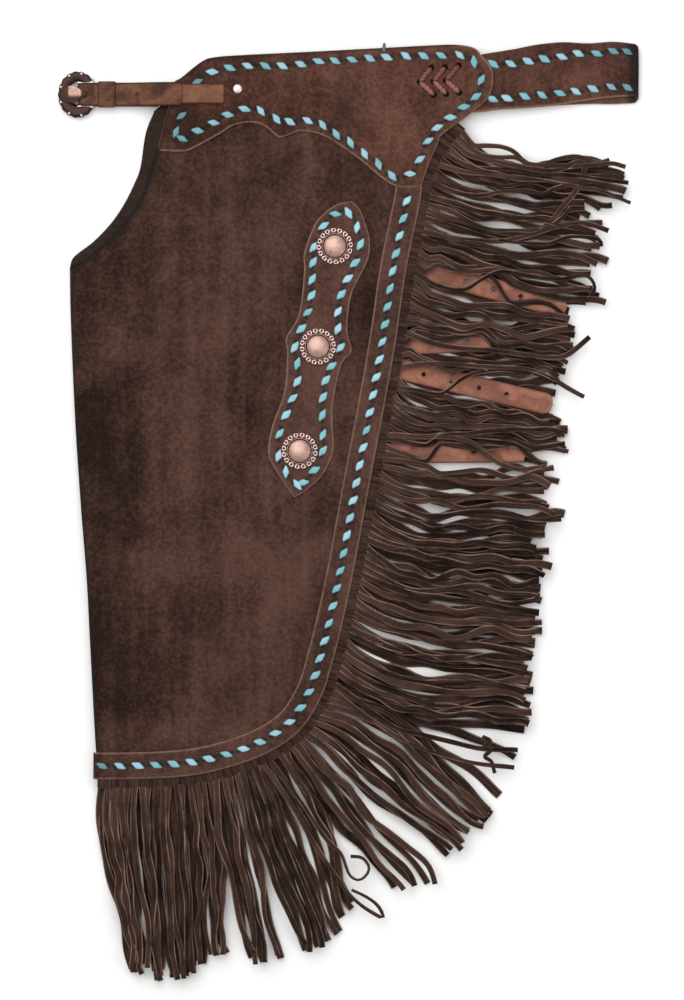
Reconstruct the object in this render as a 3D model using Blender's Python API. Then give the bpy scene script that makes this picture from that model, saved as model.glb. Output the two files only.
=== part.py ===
"""Fringed leather chaps, a pair folded at the centre back and laid flat, near leg on top.

Plan: +X to the right and +Y up the garment, +Z up from the surface that it lies on.
Tables are in millimetres and become metres where each mesh is made.
"""

import math

import bmesh
import bpy
import numpy as np
from mathutils import Vector
from mathutils.geometry import delaunay_2d_cdt

MM = 0.001
SEAM = 0.3

# Leather
PANEL_WALL = 2.0
YOKE_WALL = 2.4
BINDING_WALL = 1.8
PATCH_WALL = 1.8
BELT_WALL = 2.4
STRAP_WALL = 1.7
LEG_STRAP_WALL = 2.2

# The stack, from the surface up
LAYERS_TOP = 11.0
PANEL_TOP = LAYERS_TOP + SEAM + PANEL_WALL
FOLD_RADIUS = 3.3
FOLD_RETURN = 4.0
FOLD_TURNS = 4

# Edge binding and fringe
BINDING_WIDTH = 24.0
BINDING_HEAD_Y = 309.5
EDGE_REACH = 4.0
HEM_STEP = 14.0
FRINGE_STRIP_IN = EDGE_REACH + 3 * SEAM
FRINGE_STRIP_OUT = 20.0
FRINGE_STRIP_WALL = 1.7
STRAND_WIDTH = 5.7
STRAND_PITCH = 6.35
STRAND_WALL = 1.1
STRAND_LEVELS = 4
STRAND_LIFT = 1.4
TOP_STRANDS = 124
UNDER_STRANDS = 118
TOP_STRIP_Z = PANEL_TOP - FRINGE_STRIP_WALL
UNDER_STRIP_Z = 2.0
TOP_STRAND_Z = 8.4
UNDER_STRAND_Z = 0.3

# Hardware
CONCHO_RADIUS = 18.5
CONCHO_LOBES = 16
RIVET_RADIUS = 4.6
RIVET_SEGMENTS = 16
HOLE_RADIUS = 2.1

# Distances between the points of an outline, and between those inside it
PANEL_STEP = 24
PANEL_SPACING = 30
LAYERS_STEP = 15
PLATE_STEP = 11
YOKE_SPACING = 26
PATCH_SPACING = 40
BINDING_STEP = 18

# The line of lacing on the leg's outer edge, from beneath the yoke round to the fold
EDGE_LINE = [
    (95, 379), (73, 350), (61, 324), (57, 298), (44, 234), (34, 166), (22, 98), (9, 30), (-6, -52),
    (-17, -103), (-25, -134), (-35, -166), (-53, -195), (-80, -214), (-111, -226), (-145, -234),
    (-179, -237), (-215, -238), (-236, -238),
]

# The inner side of the near leg: the crotch curve, then the fold down to the hem
PANEL_CROTCH = [(-179, 347), (-191, 308), (-200, 290), (-218, 268), (-240, 247), (-259, 234)]
PANEL_FOLD = [(-260, 183), (-257, 90), (-252, 14), (-246, -62), (-243, -119), (-239, -195), (-236, -242)]
# Where the panel runs on beneath the yoke
PANEL_HEAD = [
    (104, 379), (111, 392), (113, 410), (107, 434), (71, 440), (-20, 435), (-98, 431), (-124, 428),
    (-137, 423), (-153, 411), (-162, 398), (-167, 376), (-173, 353),
]
# The far leg shows past the near leg's crotch curve
LAYERS_CROTCH = [
    (-183, 383), (-191, 362), (-196, 330), (-202, 314), (-211, 296), (-223, 278), (-240, 260), (-259, 245),
    (-263, 235),
]
LAYERS_FOLD = [(-262, 183), (-258, 90), (-253, 14), (-247, -62), (-244, -119), (-240, -195), (-237, -242)]
LAYERS_HEAD = [
    (104, 379), (111, 392), (113, 410), (107, 434), (71, 440), (-20, 435), (-98, 431), (-124, 428),
    (-137, 423), (-153, 411), (-166, 399),
]

# Columns: height, inset at the fold, inset at every other edge
LAYER_EDGES = [
    (0.0, 2.6, 0.8),
    (0.8, 0.9, 0.0),
    (3.0, 0.0, 0.0),
    (3.7, 0.1, 2.2),
    (4.4, 0.5, 0.6),
    (6.1, 2.4, 0.6),
    (6.4, 13.0, 2.4),
    (7.2, 13.0, 1.2),
    (LAYERS_TOP, 13.0, 1.2),
]

YOKE_OUTLINE = [
    (-178, 346), (-159, 345), (-148, 347), (-120, 362), (-109, 369), (-98, 372), (-86, 372), (-76, 368),
    (-68, 361), (-63, 358), (-56, 360), (-45, 364), (-32, 363), (-20, 359), (-5, 350), (13, 337), (32, 321),
    (42, 314), (51, 311), (61, 311), (70, 312), (75, 325), (79, 336), (85, 349), (89, 360), (99, 367),
    (118, 381), (134, 396), (138, 416), (134, 427), (127, 435), (120, 442), (103, 445), (71, 444), (-20, 439),
    (-98, 435), (-124, 433), (-137, 429), (-156, 414), (-165, 407), (-169, 385), (-173, 369), (-177, 354),
]

PATCH_OUTLINE = [
    (4, 297), (-9, 294), (-23, 284), (-31, 273), (-40, 248), (-40, 230), (-45, 190), (-57, 168), (-56, 153),
    (-59, 116), (-70, 85), (-74, 59), (-68, 44), (-50, 17), (-38, 24), (-25, 36), (-17, 50), (-13, 65),
    (-14, 100), (-8, 135), (-3, 147), (4, 156), (0, 176), (4, 209), (17, 236), (21, 248), (21, 262), (17, 277),
    (11, 291),
]
CONCHO_CENTRES = [(-11.4, 254.6), (-27.4, 159.4), (-44.7, 60.6)]

# Soft ridges in the near leg's suede. Columns: x and y at one end, x and y at the other, height, half width
PANEL_RIDGES = [
    (-226, 190, -214, -20, 1.4, 16),
    (-206, 60, -200, -190, 1.1, 12),
    (-150, 250, -168, 60, 0.8, 20),
    (-176, -30, -48, -44, 0.9, 12),
    (-130, -100, -76, -140, 1.0, 15),
    (-92, 300, -100, 150, 0.7, 22),
    (-38, 10, -62, -120, 0.8, 11),
]

# Columns: x, lower y, upper y, height of the middle of the belt
BELT_TOP_RUN = [
    (115, 382, 432, 12.2),
    (130, 383, 436, 12.2),
    (142, 385, 438, 12.0),
    (160, 386, 441, 11.0),
    (180, 387.5, 445, 9.5),
    (204, 390, 447.5, 8.0),
    (229, 394, 446.5, 7.0),
    (253, 397, 448, 6.6),
    (273.4, 398, 446, 6.6),
]
BELT_UNDER_RUN = [
    (273.4, 392, 442, 1.7),
    (253, 391, 444, 1.7),
    (229, 391, 444, 1.7),
    (190, 389, 443, 1.7),
    (150, 386, 439, 1.7),
    (116, 383, 433, 1.7),
]
BELT_FOLD_ANGLES = (45, 90, 135)

# The front fastening: the near leg's chape turns round the buckle's bar, and the far leg's billet
# comes up through the buckle and lies over it. Columns: x, height of the middle of the strap
CHAPE_RUN = [
    (-117, 17.4), (-140, 17.4), (-165, 17.4), (-175, 16.6), (-187, 13.4), (-199, 9.6), (-209, 8.0),
    (-217, 7.8), (-240.5, 7.8),
]
CHAPE_RETURN = [(-240.5, 3.2), (-228, 3.2)]
CHAPE_Y = 399.0
CHAPE_WIDTH = 17.5
BILLET_LOWER_RUN = [(-179.5, 1.15), (-205, 1.15), (-230, 1.15), (-250.3, 1.15)]
BILLET_UPPER_RUN = [
    (-250.3, 9.9), (-240.5, 9.9), (-217, 9.9), (-209, 10.2), (-199, 12.0), (-187, 16.0), (-175, 18.9),
    (-165, 19.6), (-156, 19.6),
]
BILLET_Y = 398.8
BILLET_WIDTH = 21.0
STRAP_FOLD_ANGLES = (36, 72, 108, 144)

BUCKLE_CENTRE = (-255.5, 398.8, 5.5)
BUCKLE_RADII = (15.5, 19.0)
BUCKLE_HALF_RIM = 2.7
BUCKLE_LOBES = 14
BUCKLE_MOUTH = 36
BUCKLE_BAR_X = -240.5
BUCKLE_BAR_HALF_LENGTH = 9.4
BUCKLE_BAR_RADIUS = 1.05
# Columns: x, underside, width
TONGUE = [(-247, 11.1, 4.0), (-254, 10.9, 7.0), (-261, 9.6, 12.0), (-270.5, 8.5, 12.0)]
TONGUE_WALL = 1.4
KEEPER_SPAN = (-236.0, -219.3)
KEEPER_WIDTH = 26.0
KEEPER_WALL = 1.2
KEEPER_HOLLOW = (6.6, 11.1)

# Turned pieces. Columns: radius as a share, height
CONCHO_PROFILE = [(0.25, 5.6), (0.45, 4.5), (0.58, 2.4), (0.66, 1.5), (0.84, 2.8), (1.0, 1.6), (0.97, 0.0)]
RIVET_PLACE = (-103.5, 403.6)
RIVET_PROFILE = [(0.45, 2.3), (0.8, 1.7), (1.0, 0.6), (0.95, 0.0)]

# Columns: x and y where the strap leaves the leg, x and y of its tip, width, how far the strands
# over it part, distance to its first hole, hole spacing, number of holes, slant of its tip
LEG_STRAPS = [
    (52, 238.2, 208, 195.5, 19.0, 11.0, 63.5, 26.9, 3, 0),
    (41, 160.0, 146, 166.0, 17.5, 5.0, 47.0, 26.9, 2, 0),
    (37, 141.7, 195, 104.0, 19.0, 11.5, 37.0, 26.9, 4, 0),
    (22, 58.6, 170, 59.6, 18.0, 9.5, 98.4, 26.9, 1, 6),
]
LEG_STRAP_Z = 5.9

# The fringe as it lies. Columns: share of the way along the edge line, direction of the tips in
# degrees, strand length
FRINGE_LIE = [
    (0.00, -8, 160),
    (0.04, -5, 163),
    (0.09, -3, 168),
    (0.16, -1, 174),
    (0.24, 1, 170),
    (0.32, -2, 165),
    (0.40, -3, 161),
    (0.48, -3, 166),
    (0.56, -4, 169),
    (0.62, -9, 182),
    (0.67, -20, 182),
    (0.72, -33, 194),
    (0.77, -42, 196),
    (0.82, -52, 188),
    (0.87, -60, 189),
    (0.92, -70, 184),
    (0.96, -77, 188),
    (1.00, -84, 178),
]
# Strands gather in locks: how many lie in each lock, from the top, and how tightly each draws in
LOCKS = [
    (10, 0.05), (7, 0.05), (8, 0.05), (8, 0.1), (6, 0.05), (8, 0.12), (6, 0.05), (8, 0.12), (7, 0.2), (6, 0.1),
    (2, 0.3), (9, 0.4), (7, 0.4), (3, 0.2), (4, 0.3), (4, 0.35), (5, 0.3), (4, 0.35), (5, 0.25), (4, 0.3),
    (3, 0.1),
]
LOCK_PARALLEL_TOP = 0.75
LOCK_PARALLEL_UNDER = 0.5
# Strands that cross over a leg strap, on top of the rest. Columns: strand, turn of its tip in degrees
CROSSING = {18: -17, 39: 14, 45: -14}
STRAND_SHARES_TOP = (0.12, 0.36, 0.66, 1.0)
STRAND_SHARES_UNDER = (0.12, 0.5, 1.0)

# Kinds of fill that the triangulation is asked for
INSIDE = 1
INSIDE_WITH_HOLES = 2


def material(name, colour, roughness=0.85, metallic=0.0):
    """A plain Principled material, made once for each name."""
    found = bpy.data.materials.get(name)
    if found:
        return found
    made = bpy.data.materials.new(name)
    made.use_nodes = True
    shader = made.node_tree.nodes["Principled BSDF"]
    shader.inputs["Base Color"].default_value = colour
    shader.inputs["Roughness"].default_value = roughness
    shader.inputs["Metallic"].default_value = metallic
    return made


def add_object(name, points, faces, finish, wall=None):
    """An object from points in millimetres; with a wall, the points are its outer side."""
    mesh = bpy.data.meshes.new(name)
    mesh.from_pydata([tuple(MM * c for c in p) for p in points], [], [tuple(int(i) for i in f) for f in faces])
    mesh.validate()
    made = bpy.data.objects.new(name, mesh)
    bpy.context.scene.collection.objects.link(made)
    made.parent = bpy.data.objects["chaps"]
    mesh.materials.append(finish)
    if wall:
        thick = made.modifiers.new("wall", "SOLIDIFY")
        thick.thickness = MM * wall
        thick.offset = -1.0
        thick.use_even_offset = True
    return made


def curve_through(points, step, closed=False):
    """Points about one step apart on a Catmull-Rom curve through the given points."""
    knots = np.array(points, float)
    if closed:
        knots = np.vstack([knots[-1:], knots, knots[:2]])
    else:
        knots = np.vstack([2 * knots[0] - knots[1], knots, 2 * knots[-1] - knots[-2]])
    fine = []
    for a, b, c, d in zip(knots[:-3], knots[1:-2], knots[2:-1], knots[3:]):
        for t in np.linspace(0, 1, 12, endpoint=False):
            fine.append(0.5 * (2 * b + (c - a) * t + (2 * a - 5 * b + 4 * c - d) * t**2
                               + (3 * b - 3 * c + d - a) * t**3))
    if not closed:
        fine.append(knots[-2])
    return resample(np.array(fine), step, closed)


def resample(points, step, closed=False):
    """The same line with its points evenly spaced."""
    line = np.vstack([points, points[:1]]) if closed else points
    along = np.concatenate([[0], np.cumsum(np.linalg.norm(np.diff(line, axis=0), axis=1))])
    count = max(2, int(round(along[-1] / step)))
    at = np.linspace(0, along[-1], count + 1)[: count if closed else None]
    return np.stack([np.interp(at, along, line[:, k]) for k in range(line.shape[1])], axis=1)


def directions(line):
    """Unit vectors along an open line at each of its points."""
    ahead = np.gradient(line, axis=0)
    return ahead / np.linalg.norm(ahead, axis=1, keepdims=True)


def beside(line, distance):
    """The line moved to its left-hand side as it runs, which on the edge line is outward."""
    ahead = directions(line)
    return line + distance * np.stack([-ahead[:, 1], ahead[:, 0]], axis=1)


def smooth_step(value):
    """0 below 0, 1 above 1, and an even rise between."""
    share = np.clip(value, 0.0, 1.0)
    return share * share * (3 - 2 * share)


def relief(x, y):
    """Height of the soft ridges of the near leg above its flat stretch."""
    height = 0.0
    for x0, y0, x1, y1, rise, half_width in PANEL_RIDGES:
        length = math.hypot(x1 - x0, y1 - y0)
        along = ((x - x0) * (x1 - x0) + (y - y0) * (y1 - y0)) / length
        across = ((x - x0) * (y1 - y0) - (y - y0) * (x1 - x0)) / length
        ends = smooth_step(along / (0.3 * length)) * smooth_step((length - along) / (0.3 * length))
        height += rise * float(ends) * math.exp(-((across / half_width) ** 2))
    return height


def inside(point, outline):
    """Whether the point is within the outline, by counting crossings to its right."""
    x, y = point
    x0, y0 = outline[:, 0], outline[:, 1]
    x1, y1 = np.roll(x0, -1), np.roll(y0, -1)
    spans = (y0 > y) != (y1 > y)
    cross = x0 + (y - y0) * (x1 - x0) / np.where(y1 == y0, 1e-9, y1 - y0)
    return bool(np.count_nonzero(spans & (x < cross)) % 2)


def fill_outline(outline, spacing, holes=()):
    """Points and upward triangles that fill a closed outline, with inner points on a staggered grid."""
    low, high = outline.min(axis=0), outline.max(axis=0)
    inner = []
    rows = np.arange(low[1] + spacing / 2, high[1], spacing * 0.87)
    for row, y in enumerate(rows):
        for x in np.arange(low[0] + spacing * (0.25 + 0.5 * (row % 2)), high[0], spacing):
            near = np.linalg.norm(outline - (x, y), axis=1).min()
            if near > 0.55 * spacing and inside((x, y), outline):
                inner.append((x, y))
    every, rings = [], []
    for ring in (outline, *holes):
        rings.append(list(range(len(every), len(every) + len(ring))))
        every += [tuple(p) for p in ring]
    every += inner
    kind = INSIDE_WITH_HOLES if holes else INSIDE
    found, _, faces, *_ = delaunay_2d_cdt([Vector(p) for p in every], [], rings, kind, 1e-5)
    plan = np.array([tuple(p) for p in found])
    upward = []
    for face in faces:
        a, b, c = plan[list(face)]
        turn = (b[0] - a[0]) * (c[1] - a[1]) - (b[1] - a[1]) * (c[0] - a[0])
        upward.append(tuple(face) if turn > 0 else tuple(reversed(face)))
    return plan, upward


def panel_outline(crotch, fold, head, step):
    """The leg's outline, anticlockwise from the top of the crotch curve, and the fold's stretch of it."""
    edge = beside(curve_through(EDGE_LINE, 4), EDGE_REACH)[::-1]
    crotch_line = curve_through(crotch, step)
    fold_line = curve_through([crotch[-1], *fold], step)
    hem_line = resample(edge[edge[:, 0] > fold[-1][0] + 3 * FOLD_RADIUS], HEM_STEP)
    head_line = curve_through([tuple(hem_line[-1]), *head, crotch[0]], step)
    outline = np.vstack([crotch_line[:-1], fold_line, hem_line[:-1], head_line[:-1]])
    return outline, (len(crotch_line) - 1, len(crotch_line) - 1 + len(fold_line))


def make_leg_panel(finish):
    """The near leg: a wall that turns under itself at the fold."""
    outline, (first, last) = panel_outline(PANEL_CROTCH, PANEL_FOLD, PANEL_HEAD, PANEL_STEP)
    ahead = directions(outline[first:last])
    outward = np.stack([ahead[:, 1], -ahead[:, 0]], axis=1)
    outline[first:last] -= outward * FOLD_RADIUS
    plan, faces = fill_outline(outline, PANEL_SPACING)
    points = [(x, y, PANEL_TOP + relief(x, y)) for x, y in plan]
    folded = [int(np.linalg.norm(plan - p, axis=1).argmin()) for p in outline[first:last]]
    previous = folded
    centre = PANEL_TOP - FOLD_RADIUS
    for turn in range(1, FOLD_TURNS + 2):
        angle = math.pi * min(turn, FOLD_TURNS) / FOLD_TURNS
        reach = FOLD_RADIUS * math.sin(angle) - (FOLD_RETURN if turn > FOLD_TURNS else 0)
        height = centre + FOLD_RADIUS * math.cos(angle)
        ring = []
        for index, way in zip(folded, outward):
            x, y = plan[index] + way * reach
            ring.append(len(points))
            points.append((x, y, height))
        faces += [(a, b, c, d) for a, b, c, d in zip(previous, ring, ring[1:], previous[1:])]
        previous = ring
    return add_object("leg_panel", points, faces, finish, PANEL_WALL)


def make_under_layers(finish):
    """The hidden layers as one solid with a groove between leather layers all round."""
    outline, (first, last) = panel_outline(LAYERS_CROTCH, LAYERS_FOLD, LAYERS_HEAD, LAYERS_STEP)
    around = (np.roll(outline, -1, axis=0) - np.roll(outline, 1, axis=0))
    around /= np.linalg.norm(around, axis=1, keepdims=True)
    inward = np.stack([-around[:, 1], around[:, 0]], axis=1)
    count = len(outline)
    at_fold = np.zeros(count)
    at_fold[first:last] = 1
    points, faces = [], []
    for height, fold_inset, edge_inset in LAYER_EDGES:
        inset = fold_inset * at_fold + edge_inset * (1 - at_fold)
        ring = outline + inward * inset[:, None]
        points += [(x, y, height) for x, y in ring]
    for level in range(len(LAYER_EDGES) - 1):
        base = level * count
        for i in range(count):
            j = (i + 1) % count
            faces.append((base + i, base + j, base + count + j, base + count + i))
    faces.append(tuple(range(count - 1, -1, -1)))
    top = (len(LAYER_EDGES) - 1) * count
    faces.append(tuple(range(top, top + count)))
    return add_object("under_layers", points, faces, finish)


def make_laid_plate(name, outline_points, spacing, wall, finish):
    """A flat piece laid on the near leg, its points made from the leg's, moved out."""
    outline = curve_through(outline_points, PLATE_STEP, closed=True)
    plan, faces = fill_outline(outline, spacing)
    top = PANEL_TOP + SEAM + wall
    points = [(x, y, top + relief(x, y)) for x, y in plan]
    return add_object(name, points, faces, finish, wall)


def strip(name, middles, crosses, widths, wall, finish):
    """A strap as a sheet between two edges, given its outer side's middle line."""
    points = []
    for middle, cross, width in zip(middles, crosses, widths):
        half = np.array(cross, float) * width / 2
        points += [tuple(np.array(middle) - half), tuple(np.array(middle) + half)]
    faces = [(2 * i, 2 * i + 1, 2 * i + 3, 2 * i + 2) for i in range(len(middles) - 1)]
    return add_object(name, points, faces, finish, wall)


def make_edge_binding(finish):
    """The strip over the lacing line, from the yoke's rim round to the fold, where it turns down."""
    line = curve_through(EDGE_LINE, 1)
    line = resample(line[line[:, 1] < BINDING_HEAD_Y], BINDING_STEP)
    ahead = directions(line)
    top = PANEL_TOP + SEAM + BINDING_WALL
    middles = [(x, y, top + relief(x, y)) for x, y in line]
    crosses = [(y, -x, 0) for x, y in ahead]
    crosses[0] = (-1, 0, 0)
    radius = top - (PANEL_TOP - FOLD_RADIUS)
    for angle in (30, 60, 90):
        turn = math.radians(angle)
        middles.append((line[-1][0] + 1 - radius * math.sin(turn), line[-1][1], top - radius * (1 - math.cos(turn))))
        crosses.append(crosses[-1])
    return strip("edge_binding", middles, crosses, [BINDING_WIDTH] * len(middles), BINDING_WALL, finish)


def lock_of_strand(index, count):
    """The middle strand number of the lock that a strand lies in, and how tightly it draws in."""
    scale = count / sum(size for size, _ in LOCKS)
    start = 0.0
    for size, pull in LOCKS:
        end = start + size * scale
        if index < end:
            return (start + end) / 2 - 0.5, pull
        start = end
    return index, 0.0


def part_round_straps(points, root):
    """Moves a strand's points aside from the leg straps, to the side that its root is on."""
    for x0, y0, x1, y1, _, parting, *_ in LEG_STRAPS:
        length = math.hypot(x1 - x0, y1 - y0)
        axis = np.array([x1 - x0, y1 - y0]) / length
        across = np.array([-axis[1], axis[0]])
        start = np.array([x0, y0])
        side = 1.0 if (root - start) @ across > 0 else -1.0
        along = (points - start) @ axis
        off = (points - start) @ across
        window = smooth_step((along - 38) / 35) * smooth_step((length + 25 - along) / 35)
        near = np.abs(off) < 45
        moved = side * np.sqrt(off**2 + (parting * window) ** 2)
        shift = np.where(near & (side * off > -12), moved - off, 0.0)
        shift *= smooth_step((45 - np.abs(off)) / 20)
        points = points + shift[:, None] * across
    return points


def strand_line(root, outward, share, index, count, shares, draw, crossing, parallel):
    """Plan points of one strand at the given shares of its length, the root first."""
    lie = np.array(FRINGE_LIE)
    middle, pull = lock_of_strand(index, count)
    lock_share = share + parallel * (middle - index) / count
    tip_heading = np.interp(lock_share, lie[:, 0], lie[:, 1]) + draw[0] + crossing
    length = np.interp(share, lie[:, 0], lie[:, 2]) * (1 + draw[1])
    root_heading = math.degrees(math.atan2(outward[1], outward[0]))
    fine = np.linspace(0, 1, 41)
    heading = np.radians(root_heading + (tip_heading - root_heading) * smooth_step(fine / 0.4))
    steps = length / 40 * np.stack([np.cos(heading), np.sin(heading)], axis=1)
    path = root + np.vstack([[0, 0], np.cumsum(0.5 * (steps[1:] + steps[:-1]), axis=0)])
    sideways = np.stack([-np.sin(heading), np.cos(heading)], axis=1)
    drawn = (index - middle) * STRAND_PITCH * pull * smooth_step((fine - 0.14) / 0.6)
    wave = draw[2] * np.sin(2 * math.pi * (draw[3] + 0.9 * fine)) * smooth_step((fine - 0.14) / 0.3)
    path = path + sideways * (drawn + wave)[:, None]
    if not crossing:
        path = part_round_straps(path, root)
    at = [0.0, *shares]
    return np.stack([np.interp(at, fine, path[:, k]) for k in range(2)], axis=1)


def make_fringe(name, count, strip_z, strand_z, shares, seed, crossings, parallel, finish):
    """A fringe: a strip along the leg's edge, cut outside it into strands that lie at four heights."""
    draws = np.random.default_rng(seed).uniform(-1, 1, (count, 4)) * (0.9, 0.06, 1.8, 1.0)
    line = curve_through(EDGE_LINE, 1.0)
    inner_line, outer_line = beside(line, FRINGE_STRIP_IN), beside(line, FRINGE_STRIP_OUT)
    reach = np.concatenate([[0], np.cumsum(np.linalg.norm(np.diff(outer_line, axis=0), axis=1))])
    along = np.interp(np.linspace(0, reach[-1], count + 1), reach, np.arange(len(line)))
    ways = beside(line, 1.0) - line

    def at(curve, place):
        return np.array([np.interp(place, np.arange(len(curve)), curve[:, k]) for k in range(2)])

    points, faces = [], []
    for place in along:
        for curve in (inner_line, outer_line):
            x, y = at(curve, place)
            points += [(x, y, strip_z + FRINGE_STRIP_WALL), (x, y, strip_z)]
    for i in range(count):
        a, b = 4 * i, 4 * (i + 1)
        faces += [(a, b, b + 2, a + 2), (a + 1, a + 3, b + 3, b + 1), (a, a + 1, b + 1, b)]
    faces += [(0, 2, 3, 1), (4 * count, 4 * count + 1, 4 * count + 3, 4 * count + 2)]
    for i in range(count):
        middle = 0.5 * (along[i] + along[i + 1])
        root, way = at(outer_line, middle), at(ways, middle)
        way /= np.linalg.norm(way)
        crossing = crossings.get(i, 0)
        path = strand_line(root, way, middle / (len(line) - 1), i, count, shares, draws[i], crossing,
                           parallel)
        ahead = directions(path)
        height = strand_z + STRAND_LIFT * (STRAND_LEVELS if crossing else i % STRAND_LEVELS)
        ring = [4 * i + 2, 4 * (i + 1) + 2, 4 * (i + 1) + 3, 4 * i + 3]
        for (x, y), (dx, dy) in zip(path[1:], ahead[1:]):
            side = np.array([-dy, dx]) * STRAND_WIDTH / 2
            base = len(points)
            for sign, rise in ((1, STRAND_WALL), (-1, STRAND_WALL), (-1, 0), (1, 0)):
                points.append((x + sign * side[0], y + sign * side[1], height + rise))
            fresh = [base, base + 1, base + 2, base + 3]
            faces += [(ring[k], ring[(k + 1) % 4], fresh[(k + 1) % 4], fresh[k]) for k in range(4)]
            ring = fresh
        faces.append(tuple(ring))
    return add_object(name, points, faces, finish)


def folded_strip(name, run, back, angles, wall, finish, cross):
    """A strip that runs out, turns half round in the air and runs back under itself.

    Both runs hold x, y, width and the height of the strip's middle; their outer side is what shows.
    """
    half = wall / 2
    middles = [(x, y, z + half) for x, y, _, z in run]
    widths = [width for _, _, width, _ in run]
    x_fold, y_fold, width, upper = run[-1]
    lower = back[0][3]
    way = math.copysign(1, x_fold - run[0][0])
    radius = (upper - lower) / 2 + half
    for angle in angles:
        turn = math.radians(angle)
        middles.append((x_fold + way * radius * math.sin(turn), y_fold + (back[0][1] - y_fold) * angle / 180,
                        (upper + lower) / 2 + radius * math.cos(turn)))
        widths.append(width + (back[0][2] - width) * angle / 180)
    middles += [(x, y, z - half) for x, y, _, z in back]
    widths += [width for _, _, width, _ in back]
    return strip(name, middles, [cross] * len(middles), widths, wall, finish)


def make_back_belt(finish):
    """The belt: out from beneath the yoke, round its fold and back under itself."""
    runs = []
    for table in (BELT_TOP_RUN, BELT_UNDER_RUN):
        runs.append([(x, (low + high) / 2, high - low, z) for x, low, high, z in table])
    return folded_strip("back_belt", *runs, BELT_FOLD_ANGLES, BELT_WALL, finish, (0, -1, 0))


def make_front_straps(finish):
    """The chape round the buckle's bar, and the billet that lies over it."""
    chape = [(x, CHAPE_Y, CHAPE_WIDTH, z) for x, z in CHAPE_RUN]
    chape_back = [(x, CHAPE_Y, CHAPE_WIDTH, z) for x, z in CHAPE_RETURN]
    folded_strip("front_chape", chape, chape_back, STRAP_FOLD_ANGLES, STRAP_WALL, finish, (0, 1, 0))
    billet = [(x, BILLET_Y, BILLET_WIDTH, z) for x, z in reversed(BILLET_UPPER_RUN)]
    billet_back = [(x, BILLET_Y, BILLET_WIDTH, z) for x, z in reversed(BILLET_LOWER_RUN)]
    folded_strip("front_billet", billet, billet_back, STRAP_FOLD_ANGLES, STRAP_WALL, finish, (0, 1, 0))


def make_keeper(finish):
    """The leather loop round both straps beside the buckle."""
    half_out, half_in = KEEPER_WIDTH / 2, BILLET_WIDTH / 2 + SEAM
    low_in, high_in = KEEPER_HOLLOW
    low_out, high_out = low_in - KEEPER_WALL, high_in + KEEPER_WALL
    outer = [(-half_out, low_out), (half_out, low_out), (half_out, high_in), (half_in, high_out),
             (-half_in, high_out), (-half_out, high_in)]
    inner = [(-half_in, low_in), (half_in, low_in), (half_in, high_in - 0.2), (half_in - 0.2, high_in),
             (0.2 - half_in, high_in), (-half_in, high_in - 0.2)]
    points, count = [], len(outer)
    for x in KEEPER_SPAN:
        for ring in (outer, inner):
            points += [(x, BILLET_Y + y, z) for y, z in ring]
    faces = []
    for i in range(count):
        j = (i + 1) % count
        near_out, near_in, far_out, far_in = 0, count, 2 * count, 3 * count
        faces += [
            (near_out + i, far_out + i, far_out + j, near_out + j),
            (near_in + i, near_in + j, far_in + j, far_in + i),
            (near_out + i, near_out + j, near_in + j, near_in + i),
            (far_out + i, far_in + i, far_in + j, far_out + j),
        ]
    add_facing_out("strap_keeper", points, faces, finish)


def add_facing_out(name, points, faces, finish):
    """An object from a closed mesh whose faces are turned to point out."""
    made = add_object(name, points, faces, finish)
    shell = bmesh.new()
    shell.from_mesh(made.data)
    bmesh.ops.recalc_face_normals(shell, faces=shell.faces)
    shell.to_mesh(made.data)
    shell.free()
    return made


def make_buckle(finish):
    """The buckle's scalloped frame with its straight bar, and the tongue that lies on it."""
    cx, cy, cz = BUCKLE_CENTRE
    stations = []
    for k in range(2 * BUCKLE_LOBES + 1):
        angle = math.radians(BUCKLE_MOUTH + (360 - 2 * BUCKLE_MOUTH) * k / (2 * BUCKLE_LOBES))
        way = np.array([math.cos(angle), math.sin(angle)])
        lobe = BUCKLE_HALF_RIM + (0.6 if k % 2 else -0.1)
        stations.append((np.array([cx, cy]) + way * BUCKLE_RADII, way, lobe, BUCKLE_HALF_RIM))
    for side in (-1, 1):
        place = np.array([BUCKLE_BAR_X, cy + side * BUCKLE_BAR_HALF_LENGTH])
        stations.append((place, np.array([1.0, 0.0]), BUCKLE_BAR_RADIUS, BUCKLE_BAR_RADIUS))
    section = [(1.0, -0.5), (1.0, 0.4), (0.4, 1.0), (-0.5, 1.0), (-1.0, 0.4), (-1.0, -0.5), (-0.4, -1.0),
               (0.4, -1.0)]
    points, faces, count = [], [], len(section)
    for place, way, half_rim, half_height in stations:
        for across, up in section:
            x, y = place + way * across * half_rim
            points.append((x, y, cz + up * half_height))
    for station in range(len(stations)):
        base, after = station * count, (station + 1) % len(stations) * count
        for i in range(count):
            j = (i + 1) % count
            faces.append((base + i, base + j, after + j, after + i))
    add_facing_out("buckle_frame", points, faces, finish)
    middles = [(x, cy, z + TONGUE_WALL) for x, z, _ in TONGUE]
    widths = [width for _, _, width in TONGUE]
    strip("buckle_tongue", middles, [(0, 1, 0)] * len(middles), widths, TONGUE_WALL, finish)


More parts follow.
